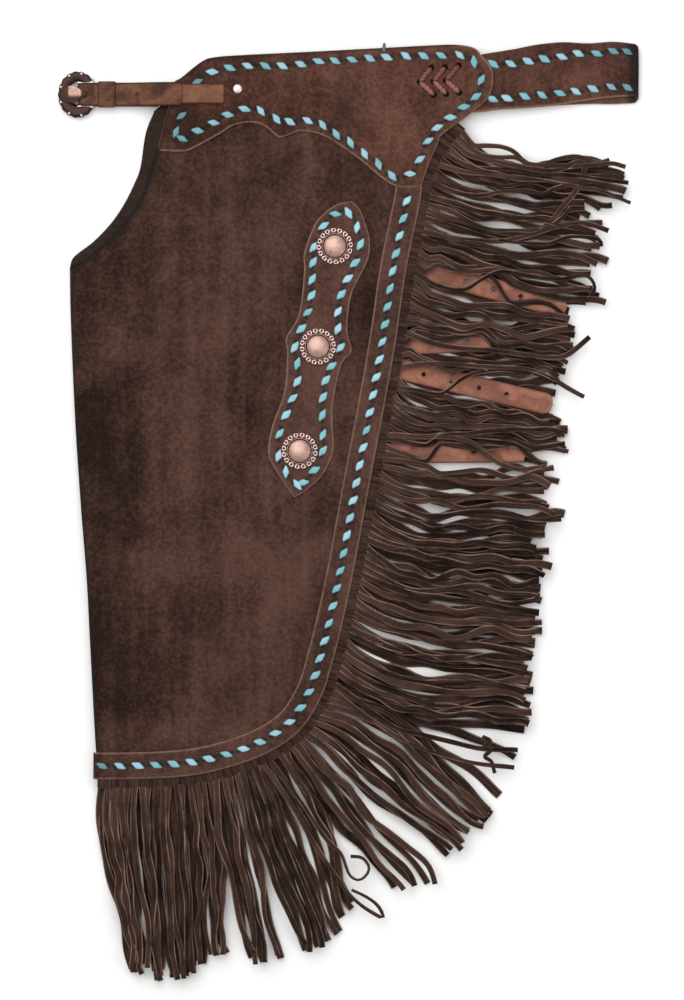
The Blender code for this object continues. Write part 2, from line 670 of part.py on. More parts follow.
def turned(name, centre, radius, profile, segments, lobes, finish):
    """A round piece from a profile; its outer rings swell in lobes where it has them."""
    x0, y0, z0 = centre
    points = [(x0, y0, z0 + profile[0][1] + 0.4), (x0, y0, z0)]
    faces = []
    for share, height in profile:
        for k in range(segments):
            angle = 2 * math.pi * k / segments
            swell = 1 - 0.07 * (k % 2) if lobes and share > 0.8 else 1.0
            reach = radius * share * swell
            points.append((x0 + reach * math.cos(angle), y0 + reach * math.sin(angle), z0 + height))
    last = 2 + (len(profile) - 1) * segments
    for k in range(segments):
        after = (k + 1) % segments
        faces.append((0, 2 + k, 2 + after))
        faces.append((1, last + after, last + k))
        for ring in range(len(profile) - 1):
            base = 2 + ring * segments
            faces.append((base + k, base + segments + k, base + segments + after, base + after))
    made = add_object(name, points, faces, finish)
    made.data.shade_smooth()
    made.data.set_sharp_from_angle(angle=math.radians(40))
    return made


def make_conchos(finish):
    """Three conchos seated on the patch."""
    seat = PANEL_TOP + SEAM + PATCH_WALL + SEAM
    for number, (x, y) in enumerate(CONCHO_CENTRES, 1):
        centre = (x, y, seat + relief(x, y))
        turned(f"concho_{number}", centre, CONCHO_RADIUS, CONCHO_PROFILE, 2 * CONCHO_LOBES, True, finish)


def make_leg_straps(finish):
    """The punched straps that pass behind the leg, lying between the two fringes."""
    for number, row in enumerate(LEG_STRAPS, 1):
        x0, y0, x1, y1, width, _, first, spacing, holes, slant = row
        length = math.hypot(x1 - x0, y1 - y0)
        ahead = np.array([x1 - x0, y1 - y0]) / length
        left = np.array([-ahead[1], ahead[0]])
        half = width / 2
        if slant:
            shape = [(0, -half), (length - slant, -half), (length + slant, half * 0.8), (length, half), (0, half)]
        else:
            shape = [(0, -half)]
            for angle in range(-90, 91, 30):
                turn = math.radians(angle)
                shape.append((length - 0.8 * half + 0.8 * half * math.cos(turn), half * math.sin(turn)))
            shape.append((0, half))
        start = np.array([x0, y0])
        outline = np.array([start + ahead * u + left * v for u, v in shape])
        rings = []
        for k in range(holes):
            centre = start + ahead * (first + spacing * k)
            turns = np.radians(np.arange(0, 360, 45))
            rings.append(centre + HOLE_RADIUS * np.stack([np.cos(turns), np.sin(turns)], axis=1))
        plan, faces = fill_outline(outline, length * 2, tuple(rings))
        top = LEG_STRAP_Z + LEG_STRAP_WALL
        add_object(f"leg_strap_{number}", [(x, y, top) for x, y in plan], faces, finish, LEG_STRAP_WALL)


def main():
    """Clears the scene and makes each piece."""
    for old in list(bpy.data.objects):
        bpy.data.objects.remove(old, do_unlink=True)
    holder = bpy.data.objects.new("chaps", None)
    bpy.context.scene.collection.objects.link(holder)
    suede = material("suede", (0.062, 0.038, 0.030, 1))
    yoke_suede = material("yoke_suede", (0.105, 0.058, 0.044, 1))
    fringe_suede = material("fringe_suede", (0.050, 0.032, 0.026, 1))
    tan_leather = material("tan_leather", (0.36, 0.19, 0.13, 1), 0.7)
    strap_leather = material("strap_leather", (0.20, 0.11, 0.08, 1), 0.6)
    copper = material("copper", (0.60, 0.36, 0.28, 1), 0.35, 1.0)
    dark_metal = material("dark_metal", (0.16, 0.10, 0.08, 1), 0.4, 1.0)
    make_under_layers(suede)
    make_leg_panel(suede)
    make_edge_binding(suede)
    make_fringe("fringe_top", TOP_STRANDS, TOP_STRIP_Z, TOP_STRAND_Z, STRAND_SHARES_TOP, 11, CROSSING,
                LOCK_PARALLEL_TOP, fringe_suede)
    make_fringe("fringe_under", UNDER_STRANDS, UNDER_STRIP_Z, UNDER_STRAND_Z, STRAND_SHARES_UNDER, 23, {},
                LOCK_PARALLEL_UNDER, fringe_suede)
    make_laid_plate("yoke", YOKE_OUTLINE, YOKE_SPACING, YOKE_WALL, yoke_suede)
    make_laid_plate("concho_patch", PATCH_OUTLINE, PATCH_SPACING, PATCH_WALL, suede)
    make_back_belt(yoke_suede)
    make_front_straps(strap_leather)
    make_keeper(strap_leather)
    make_buckle(dark_metal)
    make_conchos(copper)
    rivet_seat = (*RIVET_PLACE, PANEL_TOP + SEAM + YOKE_WALL + SEAM)
    turned("yoke_rivet", rivet_seat, RIVET_RADIUS, RIVET_PROFILE, RIVET_SEGMENTS, False, copper)
    make_leg_straps(tan_leather)


main()
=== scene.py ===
"""Visual model of fringed leather chaps, a pair folded at the centre back and laid flat.

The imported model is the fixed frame, and every piece here stands for one of its nodes or is sewing
that lies on one. Plan tables are in millimetres: +X to the right, +Y up the garment, +Z up from the
surface that the pair lies on.
"""

from __future__ import annotations

import logging
import math
from dataclasses import dataclass, field
from enum import Enum

import bmesh
import bpy
import numpy as np
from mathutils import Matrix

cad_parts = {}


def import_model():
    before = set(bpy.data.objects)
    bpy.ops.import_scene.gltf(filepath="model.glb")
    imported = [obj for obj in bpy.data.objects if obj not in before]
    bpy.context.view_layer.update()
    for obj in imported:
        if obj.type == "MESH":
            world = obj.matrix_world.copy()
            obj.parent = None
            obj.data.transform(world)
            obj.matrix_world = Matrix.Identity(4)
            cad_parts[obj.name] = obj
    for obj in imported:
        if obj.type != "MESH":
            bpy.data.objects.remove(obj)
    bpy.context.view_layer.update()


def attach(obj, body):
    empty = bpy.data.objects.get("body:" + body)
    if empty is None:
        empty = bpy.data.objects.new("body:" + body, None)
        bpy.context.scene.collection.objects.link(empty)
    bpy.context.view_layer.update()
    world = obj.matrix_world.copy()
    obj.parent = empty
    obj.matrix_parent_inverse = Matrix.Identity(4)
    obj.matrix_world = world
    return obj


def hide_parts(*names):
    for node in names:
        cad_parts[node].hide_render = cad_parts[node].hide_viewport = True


LOG = logging.getLogger("chaps")

MM = 0.001
SEAM = 0.3
PHOTO_HEIGHT_M = 0.95

# Heights in the stack, from the surface up
LAYERS_TOP = 11.0
PANEL_WALL = 2.0
PANEL_TOP = LAYERS_TOP + SEAM + PANEL_WALL
YOKE_TOP = PANEL_TOP + SEAM + 2.4
BINDING_TOP = PANEL_TOP + SEAM + 1.8
PATCH_TOP = PANEL_TOP + SEAM + 1.8
FOLD_RADIUS = 3.3

# The line of lacing on the leg's outer edge, from beneath the yoke round to the fold
EDGE_LINE = [
    (95, 379), (73, 350), (61, 324), (57, 298), (44, 234), (34, 166), (22, 98), (9, 30), (-6, -52),
    (-17, -103), (-25, -134), (-35, -166), (-53, -195), (-80, -214), (-111, -226), (-145, -234),
    (-179, -237), (-215, -238), (-236, -238),
]

# Soft ridges in the near leg's suede. Columns: x and y at one end, x and y at the other, height, half width
PANEL_RIDGES = np.array([
    (-226, 190, -214, -20, 1.4, 16),
    (-206, 60, -200, -190, 1.1, 12),
    (-150, 250, -168, 60, 0.8, 20),
    (-176, -30, -48, -44, 0.9, 12),
    (-130, -100, -76, -140, 1.0, 15),
    (-92, 300, -100, 150, 0.7, 22),
    (-38, 10, -62, -120, 0.8, 11),
])


def evenly(line: np.ndarray, step: float | None = None, count: int | None = None, closed: bool = False) -> np.ndarray:
    """The same line with its points evenly spaced along its length.

    Args:
        line: points of the line, one a row.
        step: wanted distance between points, where count isn't given.
        count: number of points.
        closed: whether the line runs back to its first point.

    Returns:
        The points, one a row.
    """
    whole = np.vstack([line, line[:1]]) if closed else line
    along = np.concatenate([[0], np.cumsum(np.linalg.norm(np.diff(whole, axis=0), axis=1))])
    if count is None:
        count = max(2, int(round(along[-1] / step))) + (0 if closed else 1)
    at = np.linspace(0, along[-1], count + 1)[:-1] if closed else np.linspace(0, along[-1], count)
    return np.stack([np.interp(at, along, whole[:, k]) for k in range(line.shape[1])], axis=1)


def curve_through(knots: list | np.ndarray, step: float = 1.0, closed: bool = False) -> np.ndarray:
    """A Catmull-Rom curve: each stretch blends two knots and their two neighbours by cubic weights.

    Args:
        knots: the points that the curve passes.
        step: distance between the points that come back.
        closed: whether the curve runs back to its first knot.

    Returns:
        Evenly spaced points, one a row.
    """
    given = np.asarray(knots, float)
    if closed:
        ring = np.vstack([given[-1:], given, given[:2]])
    else:
        ring = np.vstack([2 * given[0] - given[1], given, 2 * given[-1] - given[-2]])
    a, b, c, d = (ring[k : len(ring) - 3 + k, None, :] for k in range(4))
    t = np.linspace(0, 1, 12, endpoint=False)[None, :, None]
    fine = 0.5 * (2 * b + (c - a) * t + (2 * a - 5 * b + 4 * c - d) * t**2 + (3 * b - 3 * c + d - a) * t**3)
    fine = fine.reshape(-1, given.shape[1])
    return evenly(fine if closed else np.vstack([fine, given[-1:]]), step=step, closed=closed)


def unit(vectors: np.ndarray) -> np.ndarray:
    """The vectors of the last axis at length one."""
    return vectors / np.maximum(np.linalg.norm(vectors, axis=-1, keepdims=True), 1e-9)


def beside(line: np.ndarray, distance: float) -> np.ndarray:
    """The plan line moved to its left-hand side as it runs, which on the edge line is outward."""
    ahead = unit(np.gradient(line, axis=0))
    return line + distance * np.stack([-ahead[:, 1], ahead[:, 0]], axis=1)


def point_at(line: np.ndarray, places: np.ndarray) -> np.ndarray:
    """Points of a line at fractional row numbers, of any shape."""
    rows = np.arange(len(line))
    return np.stack([np.interp(places, rows, line[:, k]) for k in range(line.shape[1])], axis=-1)


def smooth_step(value: np.ndarray | float) -> np.ndarray:
    """0 below 0, 1 above 1, and an even rise between."""
    share = np.clip(value, 0.0, 1.0)
    return share * share * (3 - 2 * share)


def ridge_height(x: np.ndarray, y: np.ndarray) -> np.ndarray:
    """Height of the soft ridges: a bell across each ridge's line, faded towards its two ends."""
    x0, y0, x1, y1, rise, half = PANEL_RIDGES.T
    length = np.hypot(x1 - x0, y1 - y0)
    dx, dy = x[..., None] - x0, y[..., None] - y0
    along = (dx * (x1 - x0) + dy * (y1 - y0)) / length
    across = (dx * (y1 - y0) - dy * (x1 - x0)) / length
    ends = smooth_step(along / (0.3 * length)) * smooth_step((length - along) / (0.3 * length))
    return (rise * ends * np.exp(-((across / half) ** 2))).sum(axis=-1)


def cockle(x: np.ndarray, y: np.ndarray) -> np.ndarray:
    """The slow unevenness of laid suede: four crossed waves of unlike length, about a third of a millimetre."""
    return (
        0.12 * np.sin(x / 13.0 + 0.8 * np.sin(y / 31.0))
        + 0.10 * np.sin(y / 17.0 + 1.1 * np.sin(x / 23.0) + 1.0)
        + 0.09 * np.sin((x + 0.6 * y) / 9.0 + 2.0)
        + 0.07 * np.sin((y - 0.5 * x) / 7.0 + 0.5)
    )


def lie_height(x: np.ndarray, y: np.ndarray, base: float) -> np.ndarray:
    """Height of a layer that lies on the near leg, from its flat height."""
    return base + ridge_height(x, y) + cockle(x, y)


def distance_to(plan: np.ndarray, spots: np.ndarray) -> np.ndarray:
    """Distance in plan from each point to the nearest of the spots."""
    flat = plan.reshape(-1, plan.shape[-1])[:, :2]
    nearest = np.full(len(flat), np.inf)
    for start in range(0, len(spots), 64):
        gaps = flat[:, None, :] - spots[None, start : start + 64, :2]
        nearest = np.minimum(nearest, np.hypot(gaps[..., 0], gaps[..., 1]).min(axis=1))
    return nearest.reshape(plan.shape[:-1])


@dataclass
class MeshDraft:
    """Points, faces and named marks of one piece while it is shaped, all in millimetres."""

    points: list[np.ndarray] = field(default_factory=list)
    faces: list[np.ndarray] = field(default_factory=list)
    caps: list[np.ndarray] = field(default_factory=list)
    marks: list[dict[str, np.ndarray]] = field(default_factory=list)
    looks: list[int] = field(default_factory=list)
    size: int = 0

    def add_grid(self, surface: np.ndarray, look: int = 0, ring: bool = False,
                 **marks: np.ndarray | float) -> np.ndarray:
        """Adds one grid of points, or a batch of grids of one shape, as quads that face outwards.

        The sum of the volumes between each quad and the grid's middle says which way the faces turn.

        Args:
            surface: points, as [grid,] row, column, xyz.
            look: number of the finish in the piece's list.
            ring: whether the last column joins the first.
            **marks: a value for each point, or one for all.

        Returns:
            The point numbers, as grid, row, column.
        """
        batch = surface.reshape(-1, *surface.shape[-3:])
        index = self.size + np.arange(batch[..., 0].size).reshape(batch.shape[:3])
        around = np.concatenate([index, index[:, :, :1]], axis=2) if ring else index
        quads = np.stack(
            [around[:, :-1, :-1], around[:, 1:, :-1], around[:, 1:, 1:], around[:, :-1, 1:]], axis=-1
        ).reshape(-1, 4)
        corner = (batch.reshape(-1, 3) - batch.reshape(-1, 3).mean(axis=0))[quads - self.size]
        fan = np.cross(corner[:, 1], corner[:, 2]) + np.cross(corner[:, 2], corner[:, 3])
        self.points.append(batch.reshape(-1, 3))
        self.faces.append(quads[:, ::-1] if (corner[:, 0] * fan).sum() < 0 else quads)
        self.looks += [look] * len(quads)
        spread = {}
        for name, value in marks.items():
            spread[name] = np.broadcast_to(np.asarray(value, float), surface.shape[:-1]).reshape(-1)
        self.marks.append(spread)
        self.size += index.size
        return index

    def add_cap(self, ring: np.ndarray, look: int = 0) -> None:
        """Closes a ring of point numbers with one face."""
        self.caps.append(ring)
        self.looks.append(look)

    def make(self, name: str, finishes: list[bpy.types.Material], merge: float = 0.002) -> bpy.types.Object:
        """Turns the draft into an object, in metres, with shared points merged.

        Args:
            name: the piece's name.
            finishes: its materials, by look number.
            merge: distance under which points become one, in millimetres.

        Returns:
            The object.
        """
        points = np.vstack(self.points) * MM
        quads = np.vstack(self.faces)
        corners = np.concatenate([quads.reshape(-1), *self.caps])
        sizes = np.array([4] * len(quads) + [len(cap) for cap in self.caps])
        mesh = bpy.data.meshes.new(name)
        mesh.vertices.add(len(points))
        mesh.vertices.foreach_set("co", points.astype(np.float32).reshape(-1))
        mesh.loops.add(len(corners))
        mesh.loops.foreach_set("vertex_index", corners.astype(np.int32))
        mesh.polygons.add(len(sizes))
        starts = np.concatenate([[0], np.cumsum(sizes)[:-1]])
        mesh.polygons.foreach_set("loop_start", starts.astype(np.int32))
        mesh.polygons.foreach_set("material_index", np.array(self.looks, np.int32))
        mesh.polygons.foreach_set("use_smooth", np.ones(len(sizes), bool))
        mesh.update(calc_edges=True)
        for mark in sorted({key for marks in self.marks for key in marks}):
            values = [
                marks.get(mark, np.zeros(len(points_of))) for marks, points_of in zip(self.marks, self.points)
            ]
            layer = mesh.attributes.new(mark, "FLOAT", "POINT")
            layer.data.foreach_set("value", np.concatenate(values).astype(np.float32))
        shell = bmesh.new()
        shell.from_mesh(mesh)
        bmesh.ops.remove_doubles(shell, verts=shell.verts, dist=merge * MM)
        shell.to_mesh(mesh)
        shell.free()
        made = bpy.data.objects.new(name, mesh)
        bpy.context.scene.collection.objects.link(made)
        for finish in finishes:
            mesh.materials.append(finish)
        return made


def skin(top: np.ndarray, normal: np.ndarray, wall: float, close_ends: bool = True) -> tuple[np.ndarray, np.ndarray]:
    """The closed skin of a leather piece: its face, a half-round rim, its back and the other rim.

    Each row becomes a ring: the face's points, three points round the far rim, the points a wall's
    thickness beneath the face, and three points round the near rim. At both ends the ring closes on
    the leather's middle, half a wall further out.

    Args:
        top: the face, as row, column, xyz.
        normal: outward directions of the face, of the same shape.
        wall: the leather's thickness.
        close_ends: whether the two ends are closed.

    Returns:
        The rings, as row, ring point, xyz, and how far each ring point is a cut edge, 0 to 1.
    """
    back = top - wall * normal
    far, near = unit(top[:, -1] - top[:, -2]), unit(top[:, 0] - top[:, 1])
    half = wall / 2

    def rim(edge: np.ndarray, up: np.ndarray, out: np.ndarray, turns: tuple[int, ...]) -> list[np.ndarray]:
        """Points half round a rim at the given angles from the face."""
        middle = edge - half * up
        return [
            middle + half * (math.cos(math.radians(a)) * up + 0.8 * math.sin(math.radians(a)) * out) for a in turns
        ]

    far_rim = rim(top[:, -1], normal[:, -1], far, (45, 90, 135))
    near_rim = rim(top[:, 0], normal[:, 0], near, (135, 90, 45))
    rings = np.concatenate(
        [top, np.stack(far_rim, axis=1), back[:, ::-1], np.stack(near_rim, axis=1)], axis=1
    )
    columns = top.shape[1]
    cut = np.concatenate([np.zeros(columns), [0.8, 1, 1], np.full(columns, 0.3), [1, 1, 0.8]])
    cut = np.broadcast_to(cut, rings.shape[:2])
    if not close_ends:
        return rings, cut
    middle = top - half * normal
    closing = []
    for end, before in ((0, 1), (-1, -2)):
        out = unit(top[end] - top[before])
        line = middle[end] + 0.8 * half * out
        rim_far = np.repeat(line[-1:], 3, axis=0)
        rim_near = np.repeat(line[:1], 3, axis=0)
        closing.append(np.concatenate([line, rim_far, line[::-1], rim_near])[None])
    rings = np.concatenate([closing[0], rings, closing[1]], axis=0)
    ends = np.ones((1, cut.shape[1]))
    return rings, np.concatenate([ends, cut, ends], axis=0)


def margin_shares(width: np.ndarray, count: int, margin: float = 1.8) -> np.ndarray:
    """Places across a piece, 0 to 1, with three close ones at either edge.

    Args:
        width: the piece's width at each row.
        count: number of places between the margins.
        margin: width of the margins.

    Returns:
        The places, as row, column.
    """
    edge = np.clip(margin / np.maximum(width, 1e-6), 0, 0.2)[:, None]
    close = np.array([0, 0.22, 0.55])[None, :] * edge
    middle = edge + (1 - 2 * edge) * np.linspace(0, 1, count)[None, :]
    return np.concatenate([close, middle, 1 - close[:, ::-1]], axis=1)


def ruled(side_a: np.ndarray, side_b: np.ndarray, columns: int) -> np.ndarray:
    """Plan points between two sides: each row is the straight line that joins their points."""
    width = np.linalg.norm(side_b - side_a, axis=1)
    share = margin_shares(width, columns)[:, :, None]
    return side_a[:, None, :] * (1 - share) + side_b[:, None, :] * share


class Drawing:
    """A node material while it is drawn up, with short ways to add patterns and join them."""

    def __init__(self, name: str) -> None:
        """Starts a material with its Principled shader."""
        self.material = bpy.data.materials.new(name)
        self.material.use_nodes = True
        self.nodes = self.material.node_tree.nodes
        self.links = self.material.node_tree.links
        self.shader = self.nodes["Principled BSDF"]
        self.place = self.nodes.new("ShaderNodeTexCoord").outputs["Object"]

    def fill(self, socket: bpy.types.NodeSocket, value: object) -> None:
        """Sets a socket to a constant, or joins it to another socket."""
        if isinstance(value, bpy.types.NodeSocket):
            self.links.new(value, socket)
        elif isinstance(value, tuple) and socket.type == "RGBA":
            socket.default_value = (*value, 1.0)
        else:
            socket.default_value = value

    def stretched(self, scale: tuple[float, float, float], turn: float = 0.0) -> bpy.types.NodeSocket:
        """The object's coordinates scaled along its axes, and turned in plan."""
        mapping = self.nodes.new("ShaderNodeMapping")
        mapping.inputs["Scale"].default_value = scale
        mapping.inputs["Rotation"].default_value = (0, 0, turn)
        self.links.new(self.place, mapping.inputs["Vector"])
        return mapping.outputs["Vector"]

    def noise(self, scale: float, detail: float = 2.0, roughness: float = 0.5, warp: float = 0.0,
              vector: bpy.types.NodeSocket | None = None) -> bpy.types.NodeSocket:
        """A noise pattern of the given fineness, in features a metre."""
        node = self.nodes.new("ShaderNodeTexNoise")
        for key, value in (("Scale", scale), ("Detail", detail), ("Roughness", roughness), ("Distortion", warp)):
            node.inputs[key].default_value = value
        self.links.new(vector or self.place, node.inputs["Vector"])
        return node.outputs["Fac"]

    def mark(self, name: str) -> bpy.types.NodeSocket:
        """A value that the piece's mesh holds at each point."""
        node = self.nodes.new("ShaderNodeAttribute")
        node.attribute_name = name
        return node.outputs["Fac"]

    def joined(self, *names: str) -> bpy.types.NodeSocket:
        """A vector of three values that the piece's mesh holds at each point."""
        node = self.nodes.new("ShaderNodeCombineXYZ")
        for socket, name in zip(node.inputs, names):
            self.links.new(self.mark(name), socket)
        return node.outputs["Vector"]

    def span(self, value: bpy.types.NodeSocket, low: float, high: float, to_low: float = 0.0,
             to_high: float = 1.0) -> bpy.types.NodeSocket:
        """Maps a value from one range to another, clamped and eased."""
        node = self.nodes.new("ShaderNodeMapRange")
        node.interpolation_type = "SMOOTHSTEP"
        for key, number in (("From Min", low), ("From Max", high), ("To Min", to_low), ("To Max", to_high)):
            node.inputs[key].default_value = number
        self.links.new(value, node.inputs["Value"])
        return node.outputs["Result"]

    def sum(self, kind: str, first: object, second: object) -> bpy.types.NodeSocket:
        """Two values joined by a kind of arithmetic, such as ADD or MULTIPLY."""
        node = self.nodes.new("ShaderNodeMath")
        node.operation = kind
        self.fill(node.inputs[0], first)
        self.fill(node.inputs[1], second)
        return node.outputs[0]

    def blend(self, share: object, first: object, second: object) -> bpy.types.NodeSocket:
        """A colour between two, by a share."""
        node = self.nodes.new("ShaderNodeMix")
        node.data_type = "RGBA"
        self.fill(node.inputs["Factor"], share)
        self.fill(node.inputs[6], first)
        self.fill(node.inputs[7], second)
        return node.outputs[2]

    def relief(self, *layers: tuple[bpy.types.NodeSocket, float, float]) -> None:
        """Joins bump patterns to the shader, each with its strength and depth in metres."""
        normal = None
        for height, strength, depth in layers:
            node = self.nodes.new("ShaderNodeBump")
            node.inputs["Strength"].default_value = strength
            node.inputs["Distance"].default_value = depth
            self.links.new(height, node.inputs["Height"])
            if normal is not None:
                self.links.new(normal, node.inputs["Normal"])
            normal = node.outputs["Normal"]
        self.links.new(normal, self.shader.inputs["Normal"])

    def finish(self, colour: object, roughness: object, **constants: object) -> bpy.types.Material:
        """Sets the shader's colour, roughness and other constant inputs."""
        self.fill(self.shader.inputs["Base Color"], colour)
        self.fill(self.shader.inputs["Roughness"], roughness)
        for key, value in constants.items():
            self.fill(self.shader.inputs[key.replace("_", " ")], value)
        return self.material


Colour = tuple[float, float, float]


@dataclass(frozen=True)
class SuedeFinish:
    """Napped leather: cloudy tone, rubbed streaks, a fine nap and a raw light cut edge, with painted shade, and patches
    of painted light and shade, where the mesh marks them.
    """

    name: str
    dark: Colour
    light: Colour
    raw_edge: Colour
    shade_tint: Colour = (0.007, 0.009, 0.010)
    cloud_scale: float = 11.0
    streak: float = 0.26
    nap_depth: float = 0.0005

    def material(self) -> bpy.types.Material:
        """Draws up the material."""
        draw = Drawing(self.name)
        clouds = draw.noise(self.cloud_scale, 7.0, 0.62, 0.4)
        rubbed = draw.noise(self.cloud_scale * 4.3, 4.0, 0.6)
        streaks = draw.noise(1.0, 5.0, 0.6, 0.2, draw.stretched((62.0, 5.5, 10.0), 0.04))
        nap = draw.noise(620.0, 3.0, 0.65)
        grain = draw.noise(240.0, 3.0, 0.6)
        tone = draw.sum("MULTIPLY", draw.span(clouds, 0.32, 0.70), 0.46)
        tone = draw.sum("ADD", tone, draw.sum("MULTIPLY", draw.span(rubbed, 0.35, 0.72), 0.14))
        tone = draw.sum("ADD", tone, draw.sum("MULTIPLY", draw.span(streaks, 0.38, 0.70), self.streak))
        tone = draw.sum("ADD", tone, draw.sum("MULTIPLY", draw.span(nap, 0.30, 0.72), 0.26))
        tone = draw.sum("ADD", tone, draw.sum("MULTIPLY", draw.span(grain, 0.35, 0.68), 0.30))
        # The tone mark: the piece's own lighter or darker patches, with painted light and painted shade.
        tone = draw.sum("ADD", tone, draw.mark("rub"))
        colour = draw.blend(draw.span(tone, 0.01, 1.51), self.dark, self.light)
        edge = draw.sum("MULTIPLY", draw.mark("cut"), draw.span(grain, 0.25, 0.6, 0.55, 1.0))
        colour = draw.blend(edge, colour, self.raw_edge)
        # Painted shade: a cool near-black where the mesh marks shade, round slits and holes, in folds, grooves and
        # cuts, and along shaded edges.
        colour = draw.blend(draw.mark("slit"), colour, self.shade_tint)
        draw.relief((nap, 0.55, self.nap_depth), (grain, 0.35, self.nap_depth * 1.6), (rubbed, 0.3, 0.0012))
        return draw.finish(colour, 0.95, Sheen_Weight=0.03, Sheen_Roughness=0.5,
                           Sheen_Tint=(0.62, 0.42, 0.34), Specular_IOR_Level=0.08)


@dataclass(frozen=True)
class StrandFinish:
    """Suede cut in strands: each has its own tone, lighter at its root as painted light, with lighter cut edges, one
    side brighter as a painted highlight, and painted shade in the strip's cuts.
    """

    name: str
    dark: Colour
    light: Colour
    raw_edge: Colour

    def material(self) -> bpy.types.Material:
        """Draws up the material."""
        draw = Drawing(self.name)
        nap = draw.noise(700.0, 3.0, 0.6)
        patches = draw.noise(46.0, 4.0, 0.6)
        fibres = draw.noise(1.0, 4.0, 0.65, 0.3, draw.joined("across", "along", "tone"))
        tone = draw.sum("ADD", draw.mark("tone"), draw.sum("MULTIPLY", draw.span(fibres, 0.36, 0.70), 0.75))
        tone = draw.sum("ADD", tone, draw.sum("MULTIPLY", draw.span(patches, 0.35, 0.7), 0.25))
        tone = draw.sum("ADD", tone, draw.sum("MULTIPLY", draw.span(nap, 0.3, 0.7), 0.12))
        colour = draw.blend(draw.span(tone, 0.1, 1.7), self.dark, self.light)
        edge = draw.sum("MULTIPLY", draw.mark("cut"), draw.span(patches, 0.35, 0.65, 0.15, 1.0))
        colour = draw.blend(edge, colour, self.raw_edge)
        # Painted shade in the strip's cuts.
        colour = draw.blend(draw.mark("slit"), colour, (0.003, 0.002, 0.0015))
        draw.relief((nap, 0.5, 0.0005), (fibres, 0.4, 0.0010))
        return draw.finish(colour, 0.9, Specular_IOR_Level=0.12)


@dataclass(frozen=True)
class StrapFinish:
    """Smooth veg-tanned leather: stained patches, darkened edges and fine pores, with painted shade round holes and
    where the mesh marks it.
    """

    name: str
    dark: Colour
    light: Colour
    edge: Colour
    gloss: float = 0.62

    def material(self) -> bpy.types.Material:
        """Draws up the material."""
        draw = Drawing(self.name)
        stains = draw.noise(38.0, 6.0, 0.65, 0.5)
        fibres = draw.noise(1.0, 4.0, 0.6, 0.0, draw.stretched((90.0, 420.0, 90.0), -0.15))
        pores = draw.noise(900.0, 2.0, 0.6)
        tone = draw.sum("ADD", draw.span(stains, 0.32, 0.68), draw.sum("MULTIPLY", fibres, 0.5))
        colour = draw.blend(draw.span(tone, 0.15, 1.25), self.dark, self.light)
        colour = draw.blend(draw.sum("MULTIPLY", draw.mark("cut"), 0.8), colour, self.edge)
        # Painted shade: near-black round punched holes and slits and past folds, where the mesh marks it.
        colour = draw.blend(draw.mark("slit"), colour, (0.02, 0.012, 0.009))
        draw.relief((pores, 0.25, 0.0003), (stains, 0.25, 0.0012))
        return draw.finish(colour, self.gloss, Specular_IOR_Level=0.14)


@dataclass(frozen=True)
class LaceFinish:
    """Dyed lace: each stitch has its own tone, and takes painted shade where it goes down into the leather and along
    its sides.
    """

    name: str
    first: Colour
    second: Colour
    sunk_shade: Colour

    def material(self) -> bpy.types.Material:
        """Draws up the material."""
        draw = Drawing(self.name)
        grain = draw.noise(520.0, 3.0, 0.6)
        blotch = draw.noise(120.0, 3.0, 0.6)
        tone = draw.sum("ADD", draw.mark("tone"), draw.sum("MULTIPLY", draw.span(blotch, 0.3, 0.7), 0.35))
        colour = draw.blend(draw.span(tone, 0.1, 1.2), self.first, self.second)
        colour = draw.blend(draw.mark("slit"), colour, self.sunk_shade)
        draw.relief((grain, 0.3, 0.0003))
        return draw.finish(colour, 0.5, Specular_IOR_Level=0.4)


@dataclass(frozen=True)
class MetalFinish:
    """Cast metal, bright on its high places and tarnished in its recesses, with painted shade where the mesh marks it,
    as on the underside of the buckle's rim and on the tongue's plate.
    """

    name: str
    bright: Colour
    tarnish: Colour
    gloss: float = 0.28

    def material(self) -> bpy.types.Material:
        """Draws up the material."""
        draw = Drawing(self.name)
        cast = draw.noise(300.0, 4.0, 0.6)
        spots = draw.noise(900.0, 2.0, 0.5)
        # The mark holds tarnish in the recesses and painted shade, such as on the rim's underside.
        recess = draw.sum("ADD", draw.mark("slit"), draw.sum("MULTIPLY", draw.span(cast, 0.5, 0.8), 0.25))
        colour = draw.blend(draw.span(recess, 0.05, 0.9), self.bright, self.tarnish)
        rough = draw.span(draw.sum("ADD", recess, draw.sum("MULTIPLY", spots, 0.2)), 0.0, 1.0, self.gloss, 0.62)
        draw.relief((cast, 0.2, 0.0004))
        return draw.finish(colour, rough, Metallic=1.0)


@dataclass(frozen=True)
class FloorFinish:
    """The plain pale surface beneath."""

    name: str = "pale_floor"

    def material(self) -> bpy.types.Material:
        """Draws up the material."""
        draw = Drawing(self.name)
        weave = draw.noise(3.0, 2.0)
        colour = draw.blend(draw.span(weave, 0.3, 0.7), (0.90, 0.90, 0.90), (0.92, 0.92, 0.92))
        return draw.finish(colour, 0.9, Specular_IOR_Level=0.1)


